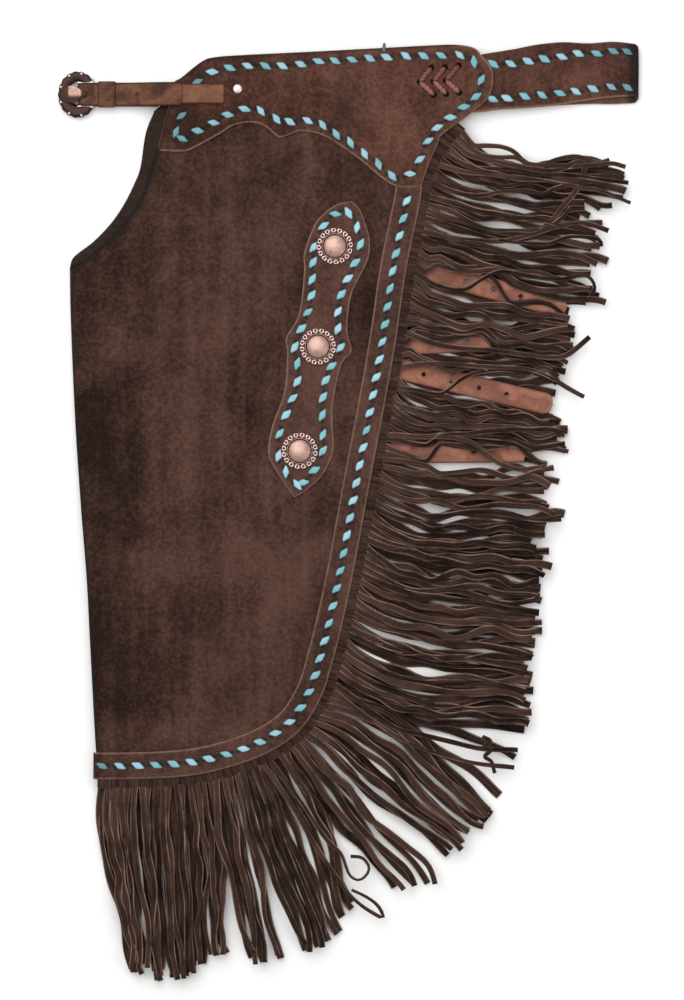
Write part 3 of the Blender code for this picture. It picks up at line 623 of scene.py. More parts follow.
class Finish(Enum):
    """Every finish of the chaps."""

    LEG = SuedeFinish("leg_suede_nap", (0.0145, 0.0069, 0.0050), (0.104, 0.0511, 0.0383), (0.21, 0.130, 0.100))
    # The far leg's layers: the same suede as the near leg, made darker as painted shade.
    FAR_LEG_SHADED = SuedeFinish("far_leg_suede_painted_shade", (0.004, 0.0028, 0.0026), (0.019, 0.011, 0.009), (0.06, 0.036, 0.028))
    YOKE = SuedeFinish("yoke_suede_nap", (0.028, 0.0121, 0.0084), (0.150, 0.0655, 0.0466), (0.23, 0.140, 0.092),
                       cloud_scale=15.0, streak=0.2)
    FRINGE = StrandFinish("fringe_suede_nap", (0.0048, 0.0027, 0.0021), (0.066, 0.0340, 0.0250), (0.235, 0.148, 0.115))
    TAN = StrapFinish("tan_strap", (0.17, 0.069, 0.044), (0.33, 0.138, 0.090), (0.12, 0.05, 0.032))
    BILLET = StrapFinish("billet_leather", (0.040, 0.0155, 0.0090), (0.145, 0.057, 0.0325), (0.012, 0.006, 0.0045))
    CHAPE = StrapFinish("chape_leather", (0.097, 0.041, 0.0225), (0.188, 0.081, 0.0455), (0.03, 0.014, 0.009))
    TURQUOISE = LaceFinish("turquoise_lace", (0.32, 0.53, 0.625), (0.125, 0.36, 0.385), (0.004, 0.035, 0.045))
    RED_LACE = LaceFinish("red_brown_lace", (0.25, 0.088, 0.060), (0.105, 0.028, 0.020), (0.02, 0.006, 0.005))
    COPPER = MetalFinish("aged_copper", (0.62, 0.40, 0.33), (0.060, 0.033, 0.026), 0.46)
    ANTIQUE = MetalFinish("antique_metal", (0.050, 0.030, 0.027), (0.008, 0.005, 0.005), 0.42)
    BRIGHT = MetalFinish("bright_bead", (0.80, 0.64, 0.60), (0.12, 0.06, 0.05), 0.35)
    # Near-black, for the dark insides of holes: painted shade.
    HOLE_SHADE = StrapFinish("hole_painted_shade", (0.002, 0.001, 0.001), (0.004, 0.003, 0.002), (0.002, 0.001, 0.001), 0.95)
    FLOOR = FloorFinish()

    def material(self) -> bpy.types.Material:
        """The finish's material, made once."""
        return bpy.data.materials.get(self.value.name) or self.value.material()


def place(made: bpy.types.Object, slot: str, *nodes: str) -> bpy.types.Object:
    """Rides a piece on the body, and says what it replaces."""
    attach(made, "root")
    if nodes:
        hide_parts(*nodes)
    LOG.info("%s: %d faces, for %s", made.name, len(made.data.polygons), ", ".join(nodes) or "sewing")
    return made


@dataclass
class Lacing:
    """A run of lace stitches through slits in the leather: each rises, lies slanting over the leather and goes down
    again.
    """

    name: str
    centres: np.ndarray
    headings: np.ndarray
    heights: np.ndarray
    length: float = 10.2
    width: float = 6.6
    slant: float = -2.0
    turn: float = -0.10
    seed: int = 5
    shades: np.ndarray | None = None

    def slits(self) -> np.ndarray:
        """Plan places of both slits of each stitch."""
        ahead = np.stack([np.cos(self.headings + self.turn), np.sin(self.headings + self.turn)], axis=1)
        reach = 0.52 * self.length
        return np.vstack([self.centres - reach * ahead, self.centres + reach * ahead])

    def surface(self) -> tuple[np.ndarray, np.ndarray, np.ndarray]:
        """The stitches as closed rings along their length.

        A ring point lies at b across the lace and h above it, and is pushed along by the slant times
        b, so that the ends are cut aslant. The lace's middle follows an arch whose ends dip below the leather.

        Returns:
            Points as stitch, row, ring point, xyz, the tone of each, and the painted shade of each, where the lace goes
            down and along its sides.
        """
        count = len(self.centres)
        draw = np.random.default_rng(self.seed).uniform(-1, 1, (count, 5))
        a = np.linspace(-1, 1, 13)
        ring = np.linspace(0, 2 * math.pi, 12, endpoint=False)
        b = np.sign(np.cos(ring)) * np.abs(np.cos(ring)) ** 0.7
        h = np.sin(ring)
        taper = np.clip(1.0 - np.abs(a) ** 3, 0.0, 1) ** 0.5
        length = self.length * (1 + 0.07 * draw[:, 0])
        width = self.width * (1 + 0.08 * draw[:, 1])
        along = length[:, None, None] / 2 * a[None, :, None] + self.slant * b[None, None, :] * np.ones((count, 13, 1))
        across = width[:, None, None] / 2 * b[None, None, :] * (0.30 + 0.70 * taper)[None, :, None]
        arch = 1.15 * (1 - np.abs(a) ** 3.5) - 0.75
        thick = 0.62 * (0.25 + 0.75 * taper)
        rise = arch[None, :, None] + thick[None, :, None] * h[None, None, :] * (1 - 0.35 * b**2)[None, None, :]
        rise = rise - 0.25 * (1 - b**2)[None, None, :] * (np.abs(a) < 0.7)[None, :, None] * 0.3
        angle = self.headings + self.turn + 0.10 * draw[:, 2]
        cos, sin = np.cos(angle)[:, None, None], np.sin(angle)[:, None, None]
        x = self.centres[:, 0, None, None] + cos * along - sin * across
        y = self.centres[:, 1, None, None] + sin * along + cos * across
        z = self.heights[:, None, None] + rise
        points = np.stack(np.broadcast_arrays(x, y, z), axis=-1)
        closing = points.mean(axis=2, keepdims=True)
        ends = [np.repeat(closing[:, k : k + 1], 12, axis=2) for k in (0, 12)]
        points = np.concatenate([ends[0], points, ends[1]], axis=1)
        tone = 0.45 + 0.4 * draw[:, 3, None, None] * np.ones((1, 15, 12))
        # Painted shade: full at the closed ends, rising where the lace goes down, along its sides, and by each stitch's
        # shades.
        sunk_shade = np.concatenate([[1.0], smooth_step((np.abs(a) - 0.62) / 0.36), [1.0]])
        rim = 0.55 * np.clip((np.abs(b) - 0.62) / 0.38, 0, 1) ** 1.5
        shades = np.zeros(count) if self.shades is None else self.shades
        sunk_shade = np.clip(sunk_shade[None, :, None] + rim[None, None, :] + shades[:, None, None], 0, 1)
        return points, tone, np.broadcast_to(sunk_shade, tone.shape)

    def make(self) -> bpy.types.Object:
        """Makes the run as one piece."""
        points, tone, sunk_shade = self.surface()
        draft = MeshDraft()
        draft.add_grid(points, ring=True, tone=tone, slit=sunk_shade)
        return draft.make(self.name, [Finish.TURQUOISE.material()])


def slit_shade(surface: np.ndarray, lacings: list[Lacing], reach: float = 2.6) -> np.ndarray:
    """Painted shade round the slits of the lacing, 0 to 1, by a bell round each."""
    spots = np.vstack([run.slits() for run in lacings])
    return np.exp(-((distance_to(surface, spots) / reach) ** 2))


@dataclass
class LegPanel:
    """The near leg's suede, folded under at its inner side."""

    rows: int = 250
    columns: int = 92
    turns: int = 10
    crotch: tuple = ((-179, 347), (-191, 308), (-200, 290), (-218, 268), (-240, 247), (-259, 234))
    fold: tuple = ((-260, 183), (-257, 90), (-252, 14), (-246, -62), (-243, -119), (-239, -195), (-236, -242))
    # Patches of tone: the nap rubbed lighter or lying darker, painted shade along the fold at the left and painted
    # light on the ridge across the leg. Columns: x, y, half width across, half height, lightening
    tone_and_light_patches: tuple = (
        (-232, 20, 26, 300, -0.24), (-210, 15, 30, 80, -0.36), (-250, 195, 16, 50, -0.3), (-90, -40, 110, 26, 0.34), (-70, -135, 50, 90, 0.22), (-163, 330, 40, 50, -0.18),
        (-150, 170, 62, 46, 0.15), (-150, 20, 80, 60, 0.05), (-120, -95, 70, 40, 0.06), (-60, 225, 30, 60, 0.08),
        (-90, 60, 34, 60, -0.06), (-100, 305, 60, 26, -0.05), (20, 225, 14, 60, -0.14), (5, 30, 20, 40, 0.18),
        (-170, -208, 70, 18, 0.28), (-118, 150, 24, 60, 0.12), (-228, -185, 34, 50, -0.32), (-105, -62, 50, 20, 0.16),
        (-93, 84, 26, 30, -0.22),
    )

    def plan(self) -> tuple[np.ndarray, np.ndarray, np.ndarray]:
        """The inner side, its outward direction and how far it folds at each row, and the outer side."""
        fold = curve_through(list(reversed(self.fold)) + [(-259, 234)], 1.0)
        crotch = curve_through(list(reversed(self.crotch)) + [(-173, 353), (-167, 376), (-161, 398)], 1.0)
        inner = np.vstack([fold[:-1], crotch])
        turned = smooth_step((234 - inner[:, 1]) / 14)
        turned[len(fold) :] = 0
        ahead = unit(np.gradient(inner, axis=0))
        outward = np.stack([-ahead[:, 1], ahead[:, 0]], axis=1)
        side = np.hstack([inner, outward, turned[:, None]])
        side = evenly(side, count=self.rows)
        outer = beside(curve_through(EDGE_LINE), 4.0)[::-1]
        outer = evenly(outer, count=self.rows)
        return side[:, :2], unit(side[:, 2:4]), side[:, 4], outer

    def rubbed(self, surface: np.ndarray) -> np.ndarray:
        """Tone round each listed place, by a bell: the nap rubbed lighter or lying darker, with painted light and
        painted shade.
        """
        x, y = surface[..., 0, None], surface[..., 1, None]
        cx, cy, wide, high, light = np.array(self.tone_and_light_patches, float).T
        return (light * np.exp(-(((x - cx) / wide) ** 2) - ((y - cy) / high) ** 2)).sum(axis=-1)

    def make(self) -> bpy.types.Object:
        """Builds the panel: rows ruled from the inner side to the outer edge, and a half-round fold."""
        inner, outward, turned, outer = self.plan()
        start = inner - outward * FOLD_RADIUS * turned[:, None]
        flat = ruled(start, outer, self.columns)
        height = lie_height(flat[..., 0], flat[..., 1], PANEL_TOP)
        edge_drop = 0.35 * np.exp(-((distance_to(flat, inner[turned < 0.5]) / 1.0) ** 2))
        top = np.concatenate([flat, (height - edge_drop)[..., None]], axis=2)
        angles = np.linspace(math.pi, 0, self.turns, endpoint=False)[None, :] * turned[:, None]
        reach = FOLD_RADIUS * np.sin(angles)
        drop = FOLD_RADIUS * (1 - np.cos(angles))
        wrap = start[:, None, :] + outward[:, None, :] * reach[..., None]
        wrap_height = top[:, :1, 2] - drop
        wrap = np.concatenate([wrap, wrap_height[..., None]], axis=2)
        spread = np.linspace(1.2, 0, self.turns, endpoint=False)[None, :] * (1 - turned)[:, None]
        wrap[..., :2] += outward[:, None, :] * spread[..., None] * 0.5
        normal = np.zeros_like(top)
        normal[..., 2] = 1
        wrap_normal = np.concatenate(
            [outward[:, None, :] * np.sin(angles)[..., None], np.cos(angles)[..., None]], axis=2
        )
        rings, cut = skin(np.concatenate([wrap, top], axis=1), np.concatenate([wrap_normal, normal], axis=1),
                          PANEL_WALL)
        shade = np.exp(-((distance_to(rings, inner) / np.interp(rings[..., 1], [225, 240], [1.8, 3.2])) ** 2))
        draft = MeshDraft()
        draft.add_grid(rings, ring=True, cut=0.5 * cut * (1 - smooth_step(3 * shade)), rub=self.rubbed(rings),
                       slit=0.85 * shade)
        made = draft.make("near_leg_suede", [Finish.LEG.material()])
        place(made, "suede", "leg_panel")
        return made


@dataclass
class UnderLayers:
    """The hidden layers of both legs, rounded and grooved at their edges."""

    crotch: tuple = (
        (-183, 383), (-191, 362), (-196, 330), (-202, 314), (-211, 296), (-223, 278), (-240, 260), (-259, 245),
        (-263, 235),
    )
    fold: tuple = ((-262, 183), (-258, 90), (-253, 14), (-247, -62), (-244, -119), (-240, -195), (-237, -242))
    head: tuple = (
        (104, 379), (111, 392), (113, 410), (107, 434), (71, 440), (-20, 435), (-98, 431), (-124, 428),
        (-137, 423), (-153, 411), (-166, 399),
    )
    # Columns: height, inset at the fold, inset at every other edge
    edges: tuple = (
        (0.0, 2.6, 0.9), (0.25, 1.6, 0.3), (0.9, 0.8, 0.0), (2.2, 0.2, 0.0), (3.2, 0.0, 0.3), (3.55, 0.1, 1.9),
        (3.8, 0.3, 1.9), (4.1, 0.4, 0.9), (5.0, 0.9, 0.5), (5.9, 2.0, 0.9), (6.2, 13.0, 2.6), (6.5, 13.0, 2.6),
        (6.9, 13.0, 1.5), (7.8, 13.0, 1.0), (8.6, 13.0, 1.4), (8.8, 13.0, 3.2), (9.1, 13.0, 3.2),
        (9.5, 13.0, 2.2), (10.4, 13.0, 1.9), (LAYERS_TOP, 13.0, 2.6),
    )

    def make(self) -> bpy.types.Object:
        """Builds the solid: the outline drawn in by each level's inset, and a flat face above and below."""
        crotch = curve_through(self.crotch, 2.0)
        fold = curve_through([self.crotch[-1], *self.fold], 2.0)
        edge = beside(curve_through(EDGE_LINE), 4.0)[::-1]
        edge = evenly(edge[edge[:, 0] > self.fold[-1][0] + 3], step=3.0)
        head = curve_through([tuple(edge[-1]), *self.head, self.crotch[0]], 3.0)
        outline = np.vstack([crotch[:-1], fold, edge[:-1], head[:-1]])
        at_fold = np.zeros(len(outline))
        at_fold[len(crotch) - 1 : len(crotch) - 1 + len(fold)] = 1
        around = unit(np.roll(outline, -1, axis=0) - np.roll(outline, 1, axis=0))
        inward = np.stack([-around[:, 1], around[:, 0]], axis=1)
        height, fold_inset, edge_inset = np.array(self.edges).T
        inset = fold_inset[:, None] * at_fold + edge_inset[:, None] * (1 - at_fold)
        plan = outline[None] + inward[None] * inset[..., None]
        levels = np.broadcast_to(height[:, None, None], (*inset.shape, 1))
        draft = MeshDraft()
        # Painted shade in the grooves between the stacked layers, where the raw edge's light is left out.
        groove = np.array([0, 0, 0, 0, 0, 1, 1, 0, 0, 0, 1, 1, 0, 0, 0, 1, 1, 0, 0, 0.0])[:, None]
        index = draft.add_grid(np.concatenate([plan, levels], axis=2), ring=True,
                               cut=(0.35 * (1 - groove)) * np.ones(inset.shape),
                               slit=0.8 * groove * np.ones(inset.shape))[0]
        draft.add_cap(index[0, ::-1])
        draft.add_cap(index[-1])
        made = draft.make("layered_underside", [Finish.FAR_LEG_SHADED.material()])
        return place(made, "suede", "under_layers")


@dataclass
class EdgeBinding:
    """The laced strip along the leg's outer edge."""

    width: float = 24.0
    wall: float = 1.8
    stitches: int = 42
    first_y: float = 298.1
    last_x: float = -232.6

    def line(self) -> np.ndarray:
        """The strip's middle line, from beneath the yoke to the fold."""
        line = curve_through(EDGE_LINE)
        return line[line[:, 1] < 311.5]

    def lacing(self) -> Lacing:
        """The stitches along the middle line, evenly spaced."""
        line = self.line()
        line = line[(line[:, 1] <= self.first_y) & (line[:, 0] >= self.last_x)]
        centres = evenly(line, count=self.stitches)
        ahead = np.gradient(centres, axis=0)
        heights = lie_height(centres[:, 0], centres[:, 1], BINDING_TOP)
        return Lacing("edge_lacing", centres, np.arctan2(ahead[:, 1], ahead[:, 0]), heights, seed=11,
                      shades=0.6 * smooth_step((-212 - centres[:, 0]) / 24))

    def make(self) -> list[bpy.types.Object]:
        """Builds the strip, dished along its lacing, and the lacing."""
        lacing = self.lacing()
        line = evenly(self.line(), step=1.25)
        ahead = unit(np.gradient(line, axis=0))
        side = np.stack([ahead[:, 1], -ahead[:, 0]], axis=1)
        fade = smooth_step((line[:, 1] - 300) / 9)[:, None]
        side = unit(side * (1 - fade) + np.array([-1.0, 0.0]) * fade)
        share = margin_shares(np.full(len(line), self.width), 19) * 2 - 1
        plan = line[:, None, :] + side[:, None, :] * (share * self.width / 2)[..., None]
        slit = slit_shade(plan, [lacing])
        dish = 0.35 * np.exp(-((share * self.width / 2 / 3.2) ** 2)) + 0.5 * np.abs(share) ** 8
        height = lie_height(plan[..., 0], plan[..., 1], BINDING_TOP) - dish - 0.45 * slit
        top = np.concatenate([plan, height[..., None]], axis=2)
        radius = BINDING_TOP - (PANEL_TOP - FOLD_RADIUS)
        turns = np.radians(np.arange(8, 91, 8))[:, None]
        end = top[-1][None]
        wrap = np.stack(
            [end[..., 0] + 1.0 - radius * np.sin(turns), np.repeat(end[..., 1], len(turns), axis=0),
             end[..., 2] - radius * (1 - np.cos(turns))], axis=-1)
        whole = np.concatenate([top, wrap], axis=0)
        normal = np.zeros_like(whole)
        normal[..., 2] = 1
        normal[len(top) :, :, 0] = -np.sin(turns)
        normal[len(top) :, :, 2] = np.cos(turns)
        rings, cut = skin(whole, normal, self.wall)
        # Painted shade round the slits.
        marks = np.zeros(rings.shape[:2])
        marks[1 : len(top) + 1, : top.shape[1]] = 0.85 * slit
        cut = cut.copy()
        cut[1:-1, : top.shape[1]] = np.maximum(cut[1:-1, : top.shape[1]], 0.75 * np.exp(
            -(((1 - np.abs(np.vstack([share, np.repeat(share[-1:], len(turns), axis=0)]))) * 12 / 0.75) ** 2)))
        draft = MeshDraft()
        # The tone mark lightens the strip, and darkens it towards the fold as painted shade.
        draft.add_grid(rings, ring=True, cut=cut, slit=marks,
                       rub=0.26 - 0.5 * smooth_step((-200 - rings[..., 0]) / 34))
        strip = draft.make("edge_binding_strip", [Finish.LEG.material()])
        place(strip, "suede", "edge_binding")
        laced = lacing.make()
        return [strip, place(laced, "suede")]


@dataclass
class LaidPlate:
    """A shaped piece of leather laid on the near leg and laced round its rim."""

    name: str
    node: str
    slot: str
    finish: Finish
    top: float
    wall: float
    side_a: tuple
    side_b: tuple
    stitch_centres: tuple
    rows: int
    columns: int
    flat: tuple[float, float]
    area: float
    seed: int
    shaded_edge: tuple[float, float] = (0.0, 0.0)
    stitch_turn: float = -0.10
    shades: tuple = ()
    lace_shade: float = 0.0
    rub: float = 0.0
    painted_light_slope: float = 0.0

    def lacing(self) -> Lacing:
        """The stitches round the plate's rim."""
        centres = np.array(self.stitch_centres, float)
        ahead = np.roll(centres, -1, axis=0) - np.roll(centres, 1, axis=0)
        heights = lie_height(centres[:, 0], centres[:, 1], self.top)
        shades = np.full(len(centres), self.lace_shade)
        for number, shade in self.shades:
            shades[number] += shade
        return Lacing(f"{self.name}_lacing", centres, np.arctan2(ahead[:, 1], ahead[:, 0]), heights,
                      turn=self.stitch_turn, seed=self.seed, shades=shades)

    def surface(self, lacing: Lacing) -> tuple[np.ndarray, np.ndarray, np.ndarray]:
        """The plate's face, ruled between its two sides, rounded at its rim and dished at the slits.

        Args:
            lacing: the stitches round its rim.

        Returns:
            The face, how far each point is a cut edge, and its painted shade, round the slits of the lacing and along
            the shaded edge.
        """
        side_a = evenly(curve_through(list(self.side_a)), count=self.rows)
        side_b = evenly(curve_through(list(self.side_b)), count=self.rows)
        plan = ruled(side_a, side_b, self.columns)
        rim = distance_to(plan, np.vstack([side_a, side_b]))
        slit = slit_shade(plan, [lacing])
        height = lie_height(plan[..., 0], plan[..., 1], self.top) - 0.45 * np.exp(-((rim / 1.1) ** 2)) - 0.45 * slit
        light = np.exp(-((rim / 0.75) ** 2))
        # Along the shaded edge the raw edge's light is taken away and painted shade laid instead.
        if self.shaded_edge[1]:
            first, last = (int(share * self.rows) for share in self.shaded_edge)
            shaded = np.exp(-((distance_to(plan, side_a[first:last]) / 1.6) ** 2))
            light = light * (1 - smooth_step(shaded * 1.6))
            slit = np.maximum(slit, 0.75 * shaded)
        return np.concatenate([plan, height[..., None]], axis=2), light, slit

    def make(self) -> list[bpy.types.Object]:
        """Builds the plate and its lacing."""
        lacing = self.lacing()
        top, rim, slit = self.surface(lacing)
        normal = np.zeros_like(top)
        normal[..., 2] = 1
        rings, cut = skin(top, normal, self.wall)
        cut, marks = cut.copy(), np.zeros(rings.shape[:2])
        cut[1:-1, : top.shape[1]] = 0.8 * rim
        # Painted shade round the slits and along the shaded edge.
        marks[1:-1, : top.shape[1]] = 0.85 * slit
        draft = MeshDraft()
        # The tone mark: the plate's own tone, plus a slope of painted light, darker to the left as painted shade and
        # lighter to the right.
        draft.add_grid(rings, ring=True, cut=cut, slit=marks,
                       rub=self.rub + self.painted_light_slope * (smooth_step(0.55 + rings[..., 0] / 300) - 0.6))
        plate = draft.make(self.name, [self.finish.material()])
        place(plate, self.slot, self.node)
        return [plate, place(lacing.make(), self.slot)]


YOKE = LaidPlate(
    name="yoke_leather", node="yoke", slot="yoke_suede", finish=Finish.YOKE, top=YOKE_TOP, wall=2.4,
    side_a=(
        (-178.3, 346.4), (-177, 354), (-173, 369), (-169, 385), (-165, 407), (-156, 414), (-137, 429), (-124, 433),
        (-98, 435), (-20, 439), (71, 444), (103, 445), (120, 442), (127, 435), (134, 427), (138, 416),
        (134, 396), (118, 381), (99, 367), (89, 360), (85, 349), (79, 336), (75, 325), (70.4, 312.2),
    ),
    side_b=(
        (-177.6, 345.8), (-159, 345), (-148, 347), (-120, 362), (-109, 369), (-98, 372), (-86, 372), (-76, 368),
        (-68, 361), (-63, 358), (-56, 360), (-45, 364), (-32, 363), (-20, 359), (-5, 350), (13, 337),
        (32, 321), (42, 314), (51, 311), (61, 311), (69.6, 311.8),
    ),
    stitch_centres=(
        (-127.6, 419.7), (-111, 423.5), (-93.9, 425.4), (-77.2, 425.4), (-61.2, 425.4), (-43.7, 427),
        (-26.8, 429.8), (-11.2, 430.2), (4.9, 431.3), (21.7, 432.6), (37.7, 433.6), (56, 434.9),
        (72.7, 434.9), (89.5, 435.2), (107, 435.6), (120.6, 429.2), (127.3, 412.1), (122.5, 396.3),
        (110.9, 386.5), (98, 376.6), (85.7, 366.9), (77, 354.2), (69.2, 336.7), (59.8, 323.1), (42.9, 321.2),
        (30, 332.3), (16.8, 342.1), (3.5, 352.7), (-10, 360.5), (-22.9, 369.4), (-37, 373.5), (-54, 372.5),
        (-66.6, 375.1), (-81.5, 382.7), (-97, 384.6), (-112.9, 379.1), (-126.2, 371.5), (-141.4, 363.9),
        (-156.3, 356.5), (-161.8, 362.7), (-156.6, 378.1), (-141.6, 410.2),
    ),
    rows=280, columns=66, flat=(0.318, 0.136), area=0.0265, seed=21, shaded_edge=(0.0, 0.66), painted_light_slope=0.5,
    lace_shade=0.18,
    shades=((36, 0.1), (37, 0.15), (38, 0.25), (39, 0.35), (40, 0.45), (41, 0.5)),
)

PATCH = LaidPlate(
    name="patch_leather", node="concho_patch", slot="suede", finish=Finish.LEG, top=PATCH_TOP, wall=1.8,
    side_a=(
        (-50.4, 17.2), (-68, 44), (-74, 59), (-70, 85), (-59, 116), (-56, 153), (-57, 168), (-45, 190), (-40, 230),
        (-40, 248), (-31, 273), (-23, 284), (-9, 294), (3.6, 297.1),
    ),
    side_b=(
        (-49.6, 16.8), (-38, 24), (-25, 36), (-17, 50), (-13, 65), (-14, 100), (-8, 135), (-3, 147), (4, 156),
        (0, 176), (4, 209), (17, 236), (21, 248), (21, 262), (17, 277), (11, 291), (4.4, 296.9),
    ),
    stitch_centres=(
        (-22.1, 273.8), (-10.8, 285.1), (1.6, 286.1), (9.7, 272.5), (12.9, 256.3), (7.8, 238.7), (0.9, 223.7),
        (-5.2, 208.8), (-8.4, 192.4), (-8.4, 176.3), (-6.1, 158.5), (-14.5, 140.9), (-20, 127.5),
        (-22.6, 111.3), (-23.2, 94.4), (-22.7, 75.8), (-22.7, 60.6), (-30.8, 42.4), (-41.6, 30.6),
        (-46.8, 28.5), (-57.8, 40.8), (-64.4, 56.3), (-63.7, 76.9), (-57.6, 94.8), (-51.4, 110.3),
        (-46.8, 126.4), (-46.8, 143.3), (-49.3, 158.9), (-43.1, 176.3), (-37, 191.9), (-33.4, 207.9),
        (-32.9, 223.2), (-32, 239.2), (-31.2, 253.9),
    ),
    rows=240, columns=40, flat=(0.096, 0.281), area=0.0142, seed=31, rub=0.36,
)


@dataclass
class YokeLacing:
    """The red-brown figure on the yoke: a twisted lace from each middle hole to one above and one below."""

    upper: tuple = ((80, 423.6), (92.9, 424), (106, 425.7))
    middle: tuple = ((69.3, 410.2), (82.3, 410.8), (94, 411.4))
    lower: tuple = ((82.4, 398), (94, 399), (106.4, 400.2))
    radius: float = 1.9
    hole_radius: float = 3.1

    def twisted(self, start: np.ndarray, end: np.ndarray) -> np.ndarray:
        """Two strands wound round a shallow arch from hole to hole.

        Args:
            start: plan places of the first holes, one a row.
            end: plan places of the second holes.

        Returns:
            Tubes as strand, row, ring point, xyz.
        """
        t = np.linspace(0, 1, 25)[None, :, None]
        plan = start[:, None, :] * (1 - t) + end[:, None, :] * t
        rise = 1.25 * np.sin(math.pi * t[..., 0]) ** 0.5 - 0.3
        height = lie_height(plan[..., 0], plan[..., 1], YOKE_TOP) + rise
        ahead = unit(end - start)[:, None, :]
        side = np.stack([-ahead[..., 1], ahead[..., 0]], axis=-1)
        tubes = []
        for phase in (0.0, math.pi):
            wind = phase + 2 * math.pi * 2.0 * t[..., 0]
            centre = plan + side * (0.75 * np.cos(wind))[..., None]
            lift = height + 0.45 * np.sin(wind)
            ring = np.linspace(0, 2 * math.pi, 8, endpoint=False)
            shrink = 0.35 + 0.65 * np.clip(np.sin(math.pi * t[..., 0]) * 3, 0, 1)
            offset = self.radius * shrink[..., None] * np.cos(ring)
            tubes.append(np.concatenate([
                centre[:, :, None, :] + side[:, :, None, :] * offset[..., None],
                (lift[..., None] + self.radius * shrink[..., None] * np.sin(ring))[..., None],
            ], axis=3))
        tubes = np.concatenate(tubes)
        ends = [np.repeat(tubes[:, [k]].mean(axis=2, keepdims=True), 8, axis=2) for k in (0, -1)]
        return np.concatenate([ends[0], tubes, ends[1]], axis=1)

    def make(self) -> bpy.types.Object:
        """Makes the laces and the holes that they go through."""
        upper, middle, lower = (np.array(row, float) for row in (self.upper, self.middle, self.lower))
        draft = MeshDraft()
        for start, end, shade in ((middle, upper, 0.55), (middle, lower, 0.0)):
            tubes = self.twisted(start, end)
            tone = shade + np.random.default_rng(3).uniform(0.0, 0.4, (len(tubes), 1, 1))
            draft.add_grid(tubes, ring=True, tone=tone * np.ones(tubes.shape[:3]), slit=0.0)
        # Dark discs set in each hole, below the face: painted shade for the hole's inside.
        holes = np.vstack([upper, middle, lower])
        base = lie_height(holes[:, 0], holes[:, 1], YOKE_TOP)
        share = np.array([0.0, 1.0, 1.0, 0.8, 0.4, 0.0])
        lift = np.array([-0.6, -0.6, 0.12, 0.2, 0.25, 0.27])
        angle = np.linspace(0, 2 * math.pi, 16, endpoint=False)
        x = holes[:, 0, None, None] + self.hole_radius * share[None, :, None] * np.cos(angle)
        y = holes[:, 1, None, None] + self.hole_radius * share[None, :, None] * np.sin(angle)
        z = base[:, None, None] + lift[None, :, None] * np.ones(16)
        draft.add_grid(np.stack([x, y, z], axis=-1), look=1, ring=True, tone=0.3)
        made = draft.make("yoke_laced_figure", [Finish.RED_LACE.material(), Finish.HOLE_SHADE.material()])
        return place(made, "yoke_suede")


